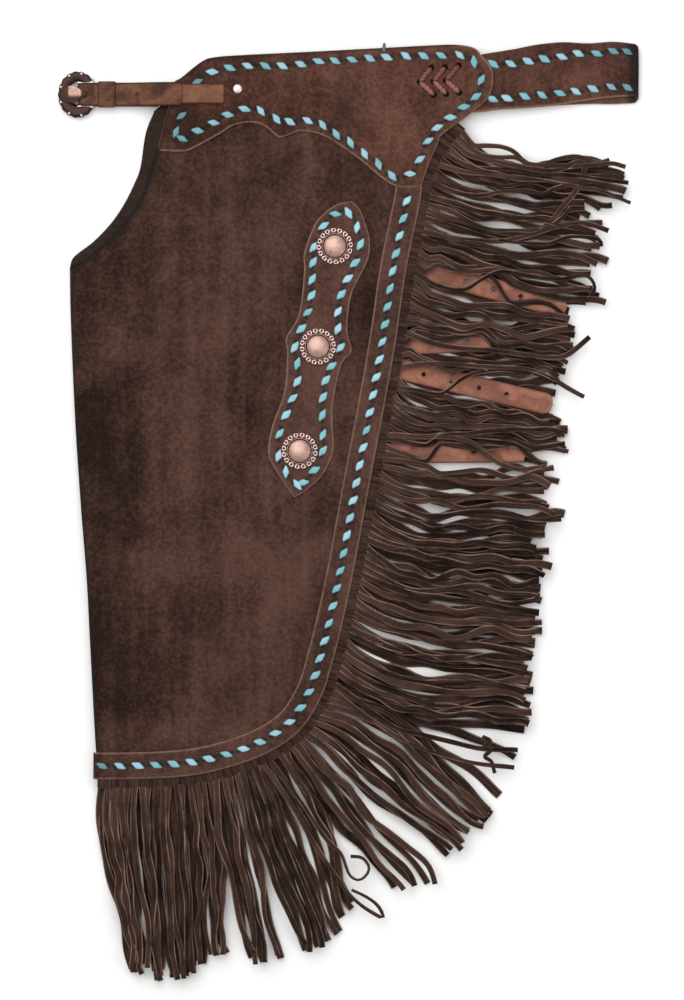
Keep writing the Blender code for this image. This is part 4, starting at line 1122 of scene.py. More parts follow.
@dataclass
class Band:
    """A belt or strap along a run in the X and Z directions, with a fold where it turns back."""

    name: str
    node: str
    slot: str
    finish: Finish
    wall: float
    # Columns: x, lower y, upper y, height of the strap's middle
    upper: tuple
    lower: tuple
    columns: int
    step: float
    flat: tuple[float, float]
    rests_on: str
    holes: tuple = ()
    hole_radius: float = 1.7
    round_start: float = 0.0
    rim_depth: float = 0.9
    fold_shade: float = 0.0
    lit_below: float = 0.0

    def middle_line(self) -> np.ndarray:
        """The strap's middle: x, lower y, upper y, height and facing, through the fold and back."""
        upper, lower = np.array(self.upper, float), np.array(self.lower, float)
        half = self.wall / 2
        way = math.copysign(1, upper[-1, 0] - upper[0, 0])
        centre = (upper[-1, 3] + lower[0, 3]) / 2
        radius = (upper[-1, 3] - lower[0, 3]) / 2 + half
        turn = np.radians(np.arange(15, 180, 15))
        share = (turn / math.pi)[:, None]
        sides = upper[-1, 1:3] * (1 - share) + lower[0, 1:3] * share
        fold = np.column_stack([upper[-1, 0] + way * radius * np.sin(turn), sides, centre + radius * np.cos(turn)])
        top = upper + np.array([0, 0, 0, half])
        under = lower - np.array([0, 0, 0, half])
        top, under = curve_through(top, 2.0), curve_through(under, 2.0)
        return evenly(np.vstack([top, fold, under]), step=self.step)

    def make(self, lacings: list[Lacing] | None = None) -> bpy.types.Object:
        """Builds the strap.

        Args:
            lacings: runs of stitches whose slits mark it.

        Returns:
            The piece.
        """
        line = self.middle_line()
        x, low, high, z = line.T
        ahead = unit(np.gradient(line[:, [0, 3]], axis=0))
        way = math.copysign(1, self.upper[-1][0] - self.upper[0][0])
        share = margin_shares(high - low, self.columns)
        width = (high - low)[:, None]
        if self.round_start:
            from_end = np.arange(len(line)) * self.step
            squeeze = np.sqrt(np.clip(1 - (1 - np.clip(from_end / self.round_start, 0.0, 1)) ** 2, 0.02, 1))
            share = 0.5 + (share - 0.5) * squeeze[:, None]
        y = low[:, None] + width * share
        normal = np.stack([-ahead[:, 1] * way, ahead[:, 0] * way], axis=1)
        top = np.stack([np.broadcast_to(x[:, None], y.shape), y, np.broadcast_to(z[:, None], y.shape)], axis=-1)
        up = np.zeros_like(top)
        up[..., 0], up[..., 2] = normal[:, None, 0], normal[:, None, 1]
        off_edge = np.minimum(share, 1 - share) * width
        marks = np.zeros(y.shape)
        sink = 0.4 * np.exp(-((off_edge / self.rim_depth) ** 2)) + 0.12 * np.sin(top[..., 0] / 6.1 + y / 9.0)
        # Painted shade round the slits of the lacing, on the face that shows, and round each punched hole.
        if lacings:
            shown = (up[..., 2] > 0.5).astype(float)
            marks = 0.85 * slit_shade(top, lacings) * shown
            sink = sink + 0.4 * marks
        for hx, hy in self.holes:
            ring = np.hypot(top[..., 0] - hx, top[..., 1] - hy)
            marks = np.maximum(marks, np.exp(-(((ring - self.hole_radius) / 0.9) ** 2)))
        top = top - up * sink[..., None]
        rings, cut = skin(top, up, self.wall)
        cut, slit = cut.copy(), np.zeros(rings.shape[:2])
        cut[1:-1, : top.shape[1]] = 0.85 * np.exp(-((off_edge / 0.8) ** 2))
        slit[1:-1, : top.shape[1]] = marks
        if self.fold_shade:
            past = way * (rings[..., 0] - self.upper[-1][0])
            slit = np.maximum(slit, self.fold_shade * smooth_step(1 + (past + 2) / 9))
            cut = cut * (1 - smooth_step((rings[..., 1] - self.lit_below) / 8))
        draft = MeshDraft()
        draft.add_grid(rings, ring=True, cut=cut, slit=slit)
        made = draft.make(self.name, [self.finish.material()])
        if self.holes:
            punch(made, np.array(self.holes, float), self.hole_radius, 40.0)
        place(made, self.slot, self.node)
        return made


def punch(made: bpy.types.Object, centres: np.ndarray, radius: float, height: float) -> None:
    """Cuts round holes down through a piece, and keeps the result as its mesh.

    Args:
        made: the piece.
        centres: plan places of the holes.
        radius: their radius.
        height: how high the cut reaches from the surface.
    """
    angle = np.linspace(0, 2 * math.pi, 20, endpoint=False)
    ring = np.stack([np.cos(angle), np.sin(angle)], axis=1) * radius
    rings = centres[:, None, None, :] + ring[None, None] * np.ones((1, 4, 1, 1)) * np.array([0, 1, 1, 0]).reshape(1, 4, 1, 1)
    levels = np.broadcast_to(np.array([-5.0, -5.0, height, height]).reshape(1, 4, 1, 1), (*rings.shape[:3], 1))
    draft = MeshDraft()
    draft.add_grid(np.concatenate([rings, levels], axis=3), ring=True)
    cutter = draft.make(f"{made.name}_punch", list(made.data.materials))
    cut = made.modifiers.new("punched", "BOOLEAN")
    cut.operation = "DIFFERENCE"
    cut.solver = "MANIFOLD"
    cut.object = cutter
    graph = bpy.context.evaluated_depsgraph_get()
    mesh = bpy.data.meshes.new_from_object(made.evaluated_get(graph))
    made.modifiers.clear()
    old = made.data
    made.data = mesh
    mesh.name = old.name
    mesh.set_sharp_from_angle(angle=math.radians(50))
    bpy.data.meshes.remove(old)
    bpy.data.objects.remove(cutter, do_unlink=True)


BELT = Band(
    name="belt_leather", node="back_belt", slot="yoke_suede", finish=Finish.YOKE, wall=2.4,
    upper=(
        (115, 382, 432, 12.2), (130, 383, 436, 12.2), (142, 385, 438, 12.0), (160, 386, 441, 11.0),
        (180, 387.5, 445, 9.5), (204, 390, 447.5, 8.0), (229, 394, 446.5, 7.0), (253, 397, 448, 6.6),
        (273.4, 398, 446, 6.6),
    ),
    lower=(
        (273.4, 392, 442, 1.7), (253, 391, 444, 1.7), (229, 391, 444, 1.7), (190, 389, 443, 1.7),
        (150, 386, 439, 1.7), (116, 383, 433, 1.7),
    ),
    columns=42, step=1.4, flat=(0.052, 0.325), rests_on="yoke_leather", fold_shade=0.8, lit_below=410.0,
)

BELT_STITCHES = {
    "belt_lacing_upper": (
        (138.9, 427.3), (155.4, 427.6), (171.8, 430.2), (187.3, 432.4), (203.9, 434.5), (219.6, 437.6),
        (237.2, 437.6), (252.9, 439.9), (266, 439.5),
    ),
    "belt_lacing_lower": (
        (137.9, 394.1), (151.8, 395), (168.7, 396.9), (185.1, 398.1), (202.1, 399.9), (217.2, 401.7),
        (233.6, 404.2), (251, 406), (266.2, 405.5),
    ),
}


def belt_lacings() -> list[Lacing]:
    """The two rows of stitches on the belt, lying at its face's height."""
    table = np.array(BELT.upper, float)
    runs = []
    for seed, (name, stitches) in enumerate(BELT_STITCHES.items(), 41):
        centres = np.array(stitches, float)
        ahead = np.gradient(centres, axis=0)
        heights = np.interp(centres[:, 0], table[:, 0], table[:, 3]) + BELT.wall / 2
        shades = 0.10 + 0.48 * smooth_step((centres[:, 0] - 225) / 45)
        runs.append(Lacing(name, centres, np.arctan2(ahead[:, 1], ahead[:, 0]), heights, seed=seed, turn=-0.15,
                           shades=shades))
    return runs


CHAPE = Band(
    name="chape_leather", node="front_chape", slot="strap_leather", finish=Finish.CHAPE, wall=1.7,
    upper=(
        (-117, 390.25, 407.75, 17.4), (-140, 390.25, 407.75, 17.4), (-165, 390.25, 407.75, 17.4),
        (-175, 390.25, 407.75, 16.6), (-187, 390.25, 407.75, 13.4), (-199, 390.25, 407.75, 9.6),
        (-209, 390.25, 407.75, 8.0), (-217, 390.25, 407.75, 7.8), (-240.5, 390.25, 407.75, 7.8),
    ),
    lower=((-240.5, 390.25, 407.75, 3.2), (-228, 390.25, 407.75, 3.2)),
    columns=20, step=0.9, flat=(0.0175, 0.150), rests_on="yoke_leather",
)

BILLET = Band(
    name="billet_leather", node="front_billet", slot="strap_leather", finish=Finish.BILLET, wall=1.7,
    upper=(
        (-156, 388.3, 409.3, 19.6), (-165, 388.3, 409.3, 19.6), (-175, 388.3, 409.3, 18.9),
        (-187, 388.3, 409.3, 16.0), (-199, 388.3, 409.3, 12.0), (-209, 388.3, 409.3, 10.2),
        (-217, 388.3, 409.3, 9.9), (-240.5, 388.3, 409.3, 9.9), (-250.3, 388.3, 409.3, 9.9),
    ),
    lower=((-250.3, 388.3, 409.3, 1.15), (-230, 388.3, 409.3, 1.15), (-205, 388.3, 409.3, 1.15),
           (-179.5, 388.3, 409.3, 1.15)),
    columns=22, step=0.9, flat=(0.021, 0.185), rests_on="chape_leather", holes=((-198.4, 398.2),),
    round_start=3.0,
)


@dataclass
class Keeper:
    """The leather loop round both straps beside the buckle."""

    span: tuple[float, float] = (-236.0, -219.3)
    middle_y: float = 398.8
    half_width: float = 12.4
    low: float = 6.0
    high: float = 11.9
    wall: float = 1.2

    def make(self) -> bpy.types.Object:
        """Builds the loop: a rounded-rectangle section, as a superellipse, carried along the strap."""
        angle = np.linspace(0, 2 * math.pi, 72, endpoint=False)
        power = 0.28
        across = np.sign(np.cos(angle)) * np.abs(np.cos(angle)) ** power
        up = np.sign(np.sin(angle)) * np.abs(np.sin(angle)) ** power
        middle_z, half_z = (self.low + self.high) / 2, (self.high - self.low) / 2
        x = np.linspace(*self.span, 21)
        edge = 0.45 * (1 - np.abs(np.linspace(-1, 1, 21)) ** 10)
        rings = []
        for grow in (0.0, self.wall):
            swell = (grow * (0.55 + edge) if grow else np.zeros(21))[:, None]
            y = self.middle_y + across * (self.half_width - self.wall + swell)
            z = middle_z + up * (half_z - self.wall / 2 + swell)
            rings.append(np.stack([np.broadcast_to(x[:, None], y.shape), y, z], axis=-1))
        inner, outer = rings
        section = np.concatenate([outer, inner[::-1], outer[:1]], axis=0)
        draft = MeshDraft()
        cut = np.zeros(section.shape[:2])
        cut[[0, 1, 19, 20, 21, -1, -2]] = 0.8
        groove = 0.55 * (np.abs(np.abs(np.linspace(-1, 1, 21)) - 0.72) < 0.06)
        slit = np.zeros(section.shape[:2])
        slit[:21] = groove[:, None]
        draft.add_grid(section, ring=True, cut=cut, slit=slit)
        made = draft.make("keeper_loop", [Finish.BILLET.material()])
        return place(made, "strap_leather", "strap_keeper")


@dataclass
class Buckle:
    """The scalloped frame with beads on its lobes, its straight arms and the plate of its tongue."""

    centre: tuple[float, float, float] = (-255.5, 398.8, 5.5)
    radii: tuple[float, float] = (14.4, 17.9)
    half_rim: float = 2.7
    inner_flange: float = 1.1
    lobes: int = 14
    mouth: float = 36.0
    bar_x: float = -240.5
    bar_half: float = 9.4
    # Columns: x, underside, width
    tongue: tuple = ((-247, 11.1, 4.0), (-250, 11.1, 5.0), (-254, 10.9, 10.0), (-259, 10.0, 15.0),
                     (-264, 9.1, 15.0), (-270.5, 8.5, 11.0))

    def rim(self) -> np.ndarray:
        """The frame's ring: a round section that swells at each lobe, then thins to the bar.

        Returns:
            Points, as station round the frame, ring point, xyz.
        """
        cx, cy, cz = self.centre
        turn = np.radians(np.linspace(self.mouth, 360 - self.mouth, 225))
        way = np.stack([np.cos(turn), np.sin(turn)], axis=1)
        lobe = np.abs(np.cos(np.linspace(0, math.pi * self.lobes, 225)))
        half = self.half_rim + self.inner_flange - 0.35 + 0.85 * lobe
        line = np.array([cx, cy]) + way * self.radii
        bar = np.array([(self.bar_x, cy - self.bar_half), (self.bar_x, cy), (self.bar_x, cy + self.bar_half)])
        line = np.vstack([line, bar])
        way = np.vstack([way, np.tile([1.0, 0.0], (3, 1))])
        half = np.concatenate([half, [1.05, 1.05, 1.05]])
        tall = np.concatenate([np.full(225, self.half_rim), [1.05, 1.05, 1.05]])
        angle = np.linspace(0, 2 * math.pi, 16, endpoint=False)
        inward = (2.8 - 1.4 * way[:, 1:]) * np.minimum(np.cos(angle), 0) * (half[:, None] > 1.1)
        plan = line[:, None, :] + way[:, None, :] * (half[:, None] * np.cos(angle) + inward)[..., None]
        groove = 1 - 0.22 * np.exp(-((np.cos(angle) + 0.25) / 0.2) ** 2) * (np.sin(angle) > 0)
        height = cz + tall[:, None] * np.sin(angle) * groove
        return np.concatenate([plan, height[..., None]], axis=2)

    def beads(self) -> np.ndarray:
        """A bead on each lobe: a dome of five rings from its foot to its top."""
        cx, cy, cz = self.centre
        turn = np.radians(self.mouth + (360 - 2 * self.mouth) * np.arange(0, self.lobes + 1, 2) / self.lobes)
        spot = np.array([cx, cy]) + np.stack([np.cos(turn), np.sin(turn)], axis=1) * (np.array(self.radii) + 2.2)
        rise = np.radians(np.array([-90, -20, 15, 40, 65, 90]))
        angle = np.linspace(0, 2 * math.pi, 14, endpoint=False)
        radius = 1.35
        x = spot[:, 0, None, None] + radius * np.cos(rise)[None, :, None] * np.cos(angle)
        y = spot[:, 1, None, None] + radius * np.cos(rise)[None, :, None] * np.sin(angle)
        z = cz + self.half_rim - 0.9 + radius * np.sin(rise)[None, :, None] * np.ones((len(spot), 1, 14))
        return np.stack([x, y, z], axis=-1)

    def arms(self) -> np.ndarray:
        """The two bright straight arms that flank the strap, as tubes closed at their ends."""
        cx, cy, cz = self.centre
        t = np.linspace(0, 1, 15)
        angle = np.linspace(0, 2 * math.pi, 10, endpoint=False)
        tubes = []
        for side in (-1, 1):
            x = -256.5 + 17.0 * t
            y = cy + side * (11.6 - 0.9 * np.sin(math.pi * t))
            radius = 0.95 * np.sqrt(np.clip(1 - (2 * t - 1) ** 8, 0, 1))
            tubes.append(np.stack([
                np.broadcast_to(x[:, None], (15, 10)), y[:, None] + radius[:, None] * np.cos(angle),
                cz + 3.1 + radius[:, None] * np.sin(angle)], axis=-1))
        return np.stack(tubes)

    def make(self) -> list[bpy.types.Object]:
        """Builds the frame with its beads and arms, and the tongue's plate."""
        rim = self.rim()
        rim = np.concatenate([rim, rim[:1]])
        # The lower half of the rim's section is darkened: painted shade on its underside.
        depth = np.clip(0.62 - (rim[..., 2] - self.centre[2]) / (2 * self.half_rim), 0, 1)
        draft = MeshDraft()
        draft.add_grid(rim, ring=True, slit=depth)
        draft.add_grid(self.beads(), look=1, ring=True, slit=0.15)
        draft.add_grid(self.arms(), look=1, ring=True, slit=0.1)
        frame = draft.make("buckle_ring", [Finish.ANTIQUE.material(), Finish.BRIGHT.material()])
        place(frame, "dark_metal", "buckle_frame")
        table = curve_through(np.array(self.tongue, float), 0.8)
        x, z, width = table.T
        share = margin_shares(width, 9, 0.8)
        y = self.centre[1] + (share - 0.5) * width[:, None]
        crown = 0.5 * (1 - (2 * share - 1) ** 2)
        top = np.stack([np.broadcast_to(x[:, None], y.shape), y, z[:, None] + 1.4 + crown], axis=-1)
        up = np.zeros_like(top)
        up[..., 2] = 1
        rings, _ = skin(top, up, 1.4)
        draft = MeshDraft()
        shaded = smooth_step((self.centre[1] - rings[..., 1]) / 4) + smooth_step(abs(rings[..., 0] + 258) / 3 - 1.6)
        draft.add_grid(rings, ring=True, slit=0.4 + 0.5 * np.clip(shaded, 0, 1))
        plate = draft.make("tongue_plate", [Finish.COPPER.material()])
        return [frame, place(plate, "copper", "buckle_tongue")]


@dataclass
class Concho:
    """A cast boss: a dome, a fine rope ring and sixteen small hollow berries round its rim."""

    number: int
    centre: tuple[float, float]
    radius: float = 18.5
    dome_radius: float = 10.6
    berries: int = 16

    def height(self, r: np.ndarray, turn: np.ndarray) -> tuple[np.ndarray, np.ndarray]:
        """Height of the casting above its seat, and how deep a recess each point lies in.

        Args:
            r: distances from the middle.
            turn: angles round it.

        Returns:
            The heights and the recess shares.
        """
        dome = 1.6 + 4.0 * np.sqrt(np.clip(1 - (r / self.dome_radius) ** 2, 0, 1))
        pitch = 2 * math.pi / self.berries
        local = (turn + pitch / 2) % pitch - pitch / 2
        ring = 15.2
        off = np.hypot(r * np.cos(local) - ring, r * np.sin(local))
        berry = 1.9 * np.exp(-(((off - 1.75) / 0.75) ** 2)) + 0.2 * np.exp(-((off / 0.6) ** 2))
        rope = 1.0 * np.exp(-(((r - 11.9) / 0.55) ** 2)) * (0.75 + 0.25 * np.cos(48 * turn))
        outside = 0.8 + np.where(r > 11.0, berry, 0) + rope
        high = np.maximum(np.where(r < self.dome_radius, dome, 0), outside)
        recess = np.clip(1.15 - (high - 0.7) / 1.3, 0, 1)
        recess = np.where(r < self.dome_radius - 0.4, 0.22 + 0.1 * np.exp(-((r - 7) / 3) ** 2), recess)
        return high, recess

    def make(self) -> bpy.types.Object:
        """Builds the concho on polar rings, with its rim turned down to the patch."""
        x0, y0 = self.centre
        seat = float(lie_height(np.array(x0), np.array(y0), PATCH_TOP)) + SEAM - 0.15
        r = np.concatenate([[0.0, 1.2, 2.6], np.linspace(4.0, 10.2, 10), np.linspace(10.45, 18.0, 34)])
        turn = np.linspace(0, 2 * math.pi, 192, endpoint=False)
        pitch = 2 * math.pi / self.berries
        lobed = 1 - 0.055 * (0.5 - 0.5 * np.cos(turn * self.berries + math.pi))[None, :] * smooth_step(
            (r[:, None] - 12) / 5)
        grid_r = r[:, None] * lobed
        high, recess = self.height(grid_r, turn[None, :] + 0 * grid_r)
        high = high * smooth_step((18.6 - r[:, None]) / 1.1)
        last = grid_r[-1:]
        grid_r = np.concatenate([grid_r, last + 0.25, last, 0 * last])
        high = np.concatenate([high, 0.35 + 0 * last, 0 * last, 0 * last])
        recess = np.concatenate([recess, 0.5 + 0 * last, 1 + 0 * last, 1 + 0 * last])
        lean = turn[None, :] + 0.2 * self.number * pitch
        points = np.stack([x0 + grid_r * np.cos(lean), y0 + grid_r * np.sin(lean), seat + high], axis=-1)
        draft = MeshDraft()
        draft.add_grid(points[:18], ring=True, slit=recess[:18])
        draft.add_grid(points[17:], look=1, ring=True, slit=recess[17:])
        made = draft.make(f"concho_{self.number}_cast", [Finish.COPPER.material(), Finish.BRIGHT.material()])
        return place(made, "copper", f"concho_{self.number}")


@dataclass
class Rivet:
    """The copper rivet's low dome."""

    place_mm: tuple[float, float] = (-103.5, 403.6)
    radius: float = 4.6

    def make(self) -> bpy.types.Object:
        """Builds the dome on polar rings, with a pressed ring round its rim."""
        x0, y0 = self.place_mm
        seat = float(lie_height(np.array(x0), np.array(y0), YOKE_TOP)) + 0.1
        r = np.linspace(0, self.radius, 14)
        turn = np.linspace(0, 2 * math.pi, 40, endpoint=False)
        high = 2.3 * np.sqrt(np.clip(1 - (r / (self.radius * 1.02)) ** 2, 0, 1)) + 0.15 * np.exp(
            -(((r - 3.6) / 0.3) ** 2))
        r = np.concatenate([r, [self.radius, 0]])
        high = np.concatenate([high, [0, 0]])
        points = np.stack([x0 + r[:, None] * np.cos(turn), y0 + r[:, None] * np.sin(turn),
                           seat + high[:, None] * np.ones(40)], axis=-1)
        draft = MeshDraft()
        draft.add_grid(points, ring=True, slit=0.1 + 0.5 * (r[:, None] > 4.3) * np.ones(40))
        made = draft.make("rivet_dome", [Finish.BRIGHT.material()])
        return place(made, "copper", "yoke_rivet")


@dataclass
class LegStrap:
    """A punched tan strap that passes behind the leg and lies between the two fringes."""

    number: int
    start: tuple[float, float]
    end: tuple[float, float]
    width: float
    first_hole: float
    hole_count: int
    slant: float = 0.0
    spacing: float = 26.9
    wall: float = 2.2
    base: float = 5.9
    hole_radius: float = 2.1

    def make(self) -> bpy.types.Object:
        """Builds the strap with a rounded or slant-cut tip, and punches its holes."""
        start, end = np.array(self.start, float), np.array(self.end, float)
        length = float(np.linalg.norm(end - start))
        ahead = (end - start) / length
        left = np.array([-ahead[1], ahead[0]])
        u = np.concatenate([np.arange(0, length - 8, 1.6), np.linspace(length - 8, length, 14)])
        share = margin_shares(np.full(len(u), self.width), 15)
        v = (share - 0.5) * self.width
        if self.slant:
            reach = u[:, None] + self.slant * (v / self.width) * smooth_step((u / length - 0.5) * 2)[:, None]
        else:
            tip = np.clip((length - u) / 8, 0, 1)
            v = v * np.sqrt(np.clip(1 - (1 - tip) ** 2, 0.001, 1))[:, None]
            reach = np.broadcast_to(u[:, None], v.shape)
        plan = start + reach[..., None] * ahead + v[..., None] * left
        off_edge = self.width / 2 - np.abs(v)
        wave = 0.35 * np.sin(u / 14.0 + self.number)[:, None] - 0.35 * np.exp(-((off_edge / 0.9) ** 2))
        height = self.base + self.wall + wave
        top = np.concatenate([plan, height[..., None]], axis=2)
        up = np.zeros_like(top)
        up[..., 2] = 1
        holes = start + ahead * (self.first_hole + self.spacing * np.arange(self.hole_count))[:, None]
        rings, cut = skin(top, up, self.wall)
        cut, slit = cut.copy(), np.zeros(rings.shape[:2])
        cut[1:-1, : top.shape[1]] = 0.8 * np.exp(-((off_edge / 0.8) ** 2))
        # Painted shade round each punched hole.
        slit[1:-1, : top.shape[1]] = 0.7 * np.exp(-((np.abs(distance_to(top, holes) - self.hole_radius) / 0.8) ** 2))
        draft = MeshDraft()
        draft.add_grid(rings, ring=True, cut=cut, slit=slit)
        made = draft.make(f"leg_strap_{self.number}_leather", [Finish.TAN.material()])
        punch(made, holes, self.hole_radius, 30.0)
        place(made, "tan_leather", f"leg_strap_{self.number}")
        return made


LEG_STRAPS = (
    LegStrap(1, (52, 238.2), (208, 195.5), 19.0, 63.5, 3),
    LegStrap(2, (41, 160.0), (146, 166.0), 17.5, 47.0, 2),
    LegStrap(3, (37, 141.7), (195, 104.0), 19.0, 37.0, 4),
    LegStrap(4, (22, 58.6), (170, 59.6), 18.0, 98.4, 1, slant=6.0),
)
# How far strands part from each strap, where they begin to, over what length, and where before its end they close
PARTINGS = ((10.5, 22.0, 12.0, 50.0), (12.0, 14.0, 12.0, -5.0), (12.5, 8.0, 12.0, -20.0), (10.6, 52.0, 16.0, -10.0))

# Where strands end. Columns: root's place on the edge in percent, x and y of the tip, bend of the strand to its left
STRAND_ENDS = np.array([
    (0.0, 252, 337, -14), (0.8, 264, 329, -14), (2.4, 266, 315, -14), (4.0, 268, 297, -9),
    (4.4, 252, 296, -9), (5.6, 231, 291, -10), (7.3, 231, 282, -10), (8.9, 245, 271, -10),
    (10.5, 239, 255, -9), (12.1, 252, 243, -9), (13.3, 237, 233, -13), (14.9, 237, 214, -14),
    (16.5, 246, 198, -13), (16.6, 210, 195, -11), (19.4, 216, 180, -12), (21.8, 217, 170, -11),
    (24.2, 214, 157, -10), (26.2, 209, 147, -9), (27.4, 212, 136, -9), (28.6, 208, 124, -9),
    (29.4, 203, 114, -8), (29.5, 193, 97, -13), (32.3, 203, 90, -12), (34.7, 212, 81, -11),
    (37.1, 204, 71, -9), (39.0, 212, 62, -7), (39.2, 192, 52, -2), (41.1, 201, 33, -6),
    (42.7, 193, 14, -10), (44.4, 207, -3, -13), (46.0, 192, -18, -14), (46.8, 176, -25, -14),
    (48.4, 195, -38, -14), (50.0, 195, -58, -14), (51.6, 184, -73, -14), (52.8, 191, -84, -14),
    (54.0, 182, -94, -14), (56.0, 184, -109, -14), (58.9, 184, -134, -14), (60.5, 172, -147, -14),
    (62.1, 177, -160, -14), (63.7, 175, -176, -14), (65.3, 176, -191, -14), (66.9, 169, -210, -14),
    (67.0, 162, -223, -3), (68.1, 158, -238, -2), (68.3, 141, -281, 8), (70.2, 135, -291, 7),
    (71.8, 121, -314, 6), (73.0, 115, -319, 5), (73.8, 104, -314, 3), (74.5, 96, -336, 4), (75.0, 82, -353, 2), (75.8, 68, -359, 0), (76.8, 49, -362, -2),
    (76.9, 10, -374, -2), (78.5, -2, -390, -2), (80.2, -12, -404, -2), (81.7, -24, -412, -2),
    (81.9, -31, -413, -1), (83.2, -44, -416, -1), (83.3, -60, -422, -1),
    (83.9, -73, -426, -2),
    (85.5, -84, -429, -3), (86.3, -95, -423, -3), (86.5, -115, -419, -2), (87.9, -125, -425, -2),
    (88.7, -136, -430, -2), (91.1, -153, -442, -2), (92.7, -165, -440, -3), (94.4, -177, -446, -3),
    (95.6, -183, -439, -4), (95.7, -189, -436, -6), (97.6, -198, -439, -8), (100.0, -205, -436, -10),
])

# Strands with given routes: their number, and the plan points that they pass
STRAND_ROUTES = {
    0: ((108, 365), (113, 358), (120, 350), (132, 350), (145, 349), (158, 344), (167, 336), (177, 331),
        (186, 331), (196, 336), (208, 339), (219, 339), (229, 336), (240, 334), (249, 337)),
    1: ((105, 359), (117, 348), (129, 341), (144, 339), (160, 339), (171, 333), (188, 331), (210, 331),
        (232, 332), (251, 333), (264, 329)),
    2: ((101, 354), (117, 341), (146, 334), (174, 328), (198, 326), (217, 334), (225, 333), (224, 322),
        (217, 307), (206, 294), (196, 281), (185, 271), (173, 270)),
    4: ((92, 344), (106, 335), (122, 329), (152, 328), (181, 323), (211, 322), (240, 318), (267, 315)),
    6: ((86, 332), (117, 324), (155, 321), (196, 315), (225, 310), (240, 307), (254, 302), (269, 296)),
    9: ((79, 315), (99, 307), (116, 303), (132, 303), (146, 306), (171, 307), (186, 304), (196, 309),
        (215, 313), (231, 312)),
    12: ((77, 294), (96, 289), (113, 281), (129, 272), (152, 269), (181, 270), (199, 278), (212, 291)),
    14: ((74, 282), (106, 272), (132, 264), (161, 258), (190, 257), (211, 264), (238, 261), (241, 254)),
    16: ((71, 269), (108, 261), (146, 260), (174, 265), (196, 272), (222, 277), (234, 275), (248, 269)),
    22: ((64, 231), (79, 220), (100, 214), (115, 215), (127, 223), (146, 231), (174, 226), (203, 223),
        (226, 227), (235, 217), (231, 208)),
    31: ((55, 173), (89, 161), (136, 156), (174, 151), (198, 149), (211, 153), (230, 168)),
    36: ((50, 140), (79, 143), (127, 141), (169, 138), (193, 129), (205, 123), (225, 112)),
    39: ((47, 121), (65, 118), (87, 115), (98, 120), (108, 128), (122, 134), (150, 137), (179, 134),
        (199, 124)),
    46: ((38, 76), (70, 74), (103, 73), (120, 68), (132, 58), (146, 48), (165, 43), (188, 46)),
    83: ((-11, -161), (17, -181), (46, -202), (70, -208), (98, -215), (127, -221), (162, -223)),
    84: ((-14, -166), (17, -190), (39, -205), (70, -221), (98, -230), (127, -236), (159, -239)),
    98: ((-73, -233), (-44, -271), (-21, -306), (-6, -321), (-1, -332), (3, -341), (11, -346),
        (19, -341), (21, -333), (14, -325), (3, -324)),
    99: ((-79, -236), (-52, -276), (-27, -318), (-9, -343), (0, -357), (11, -368), (23, -376),
        (35, -382), (29, -370), (17, -361), (5, -355)),
    124: ((128, -211), (136, -215), (130, -220), (136, -223), (131, -229), (137, -234), (140, -245)),
}


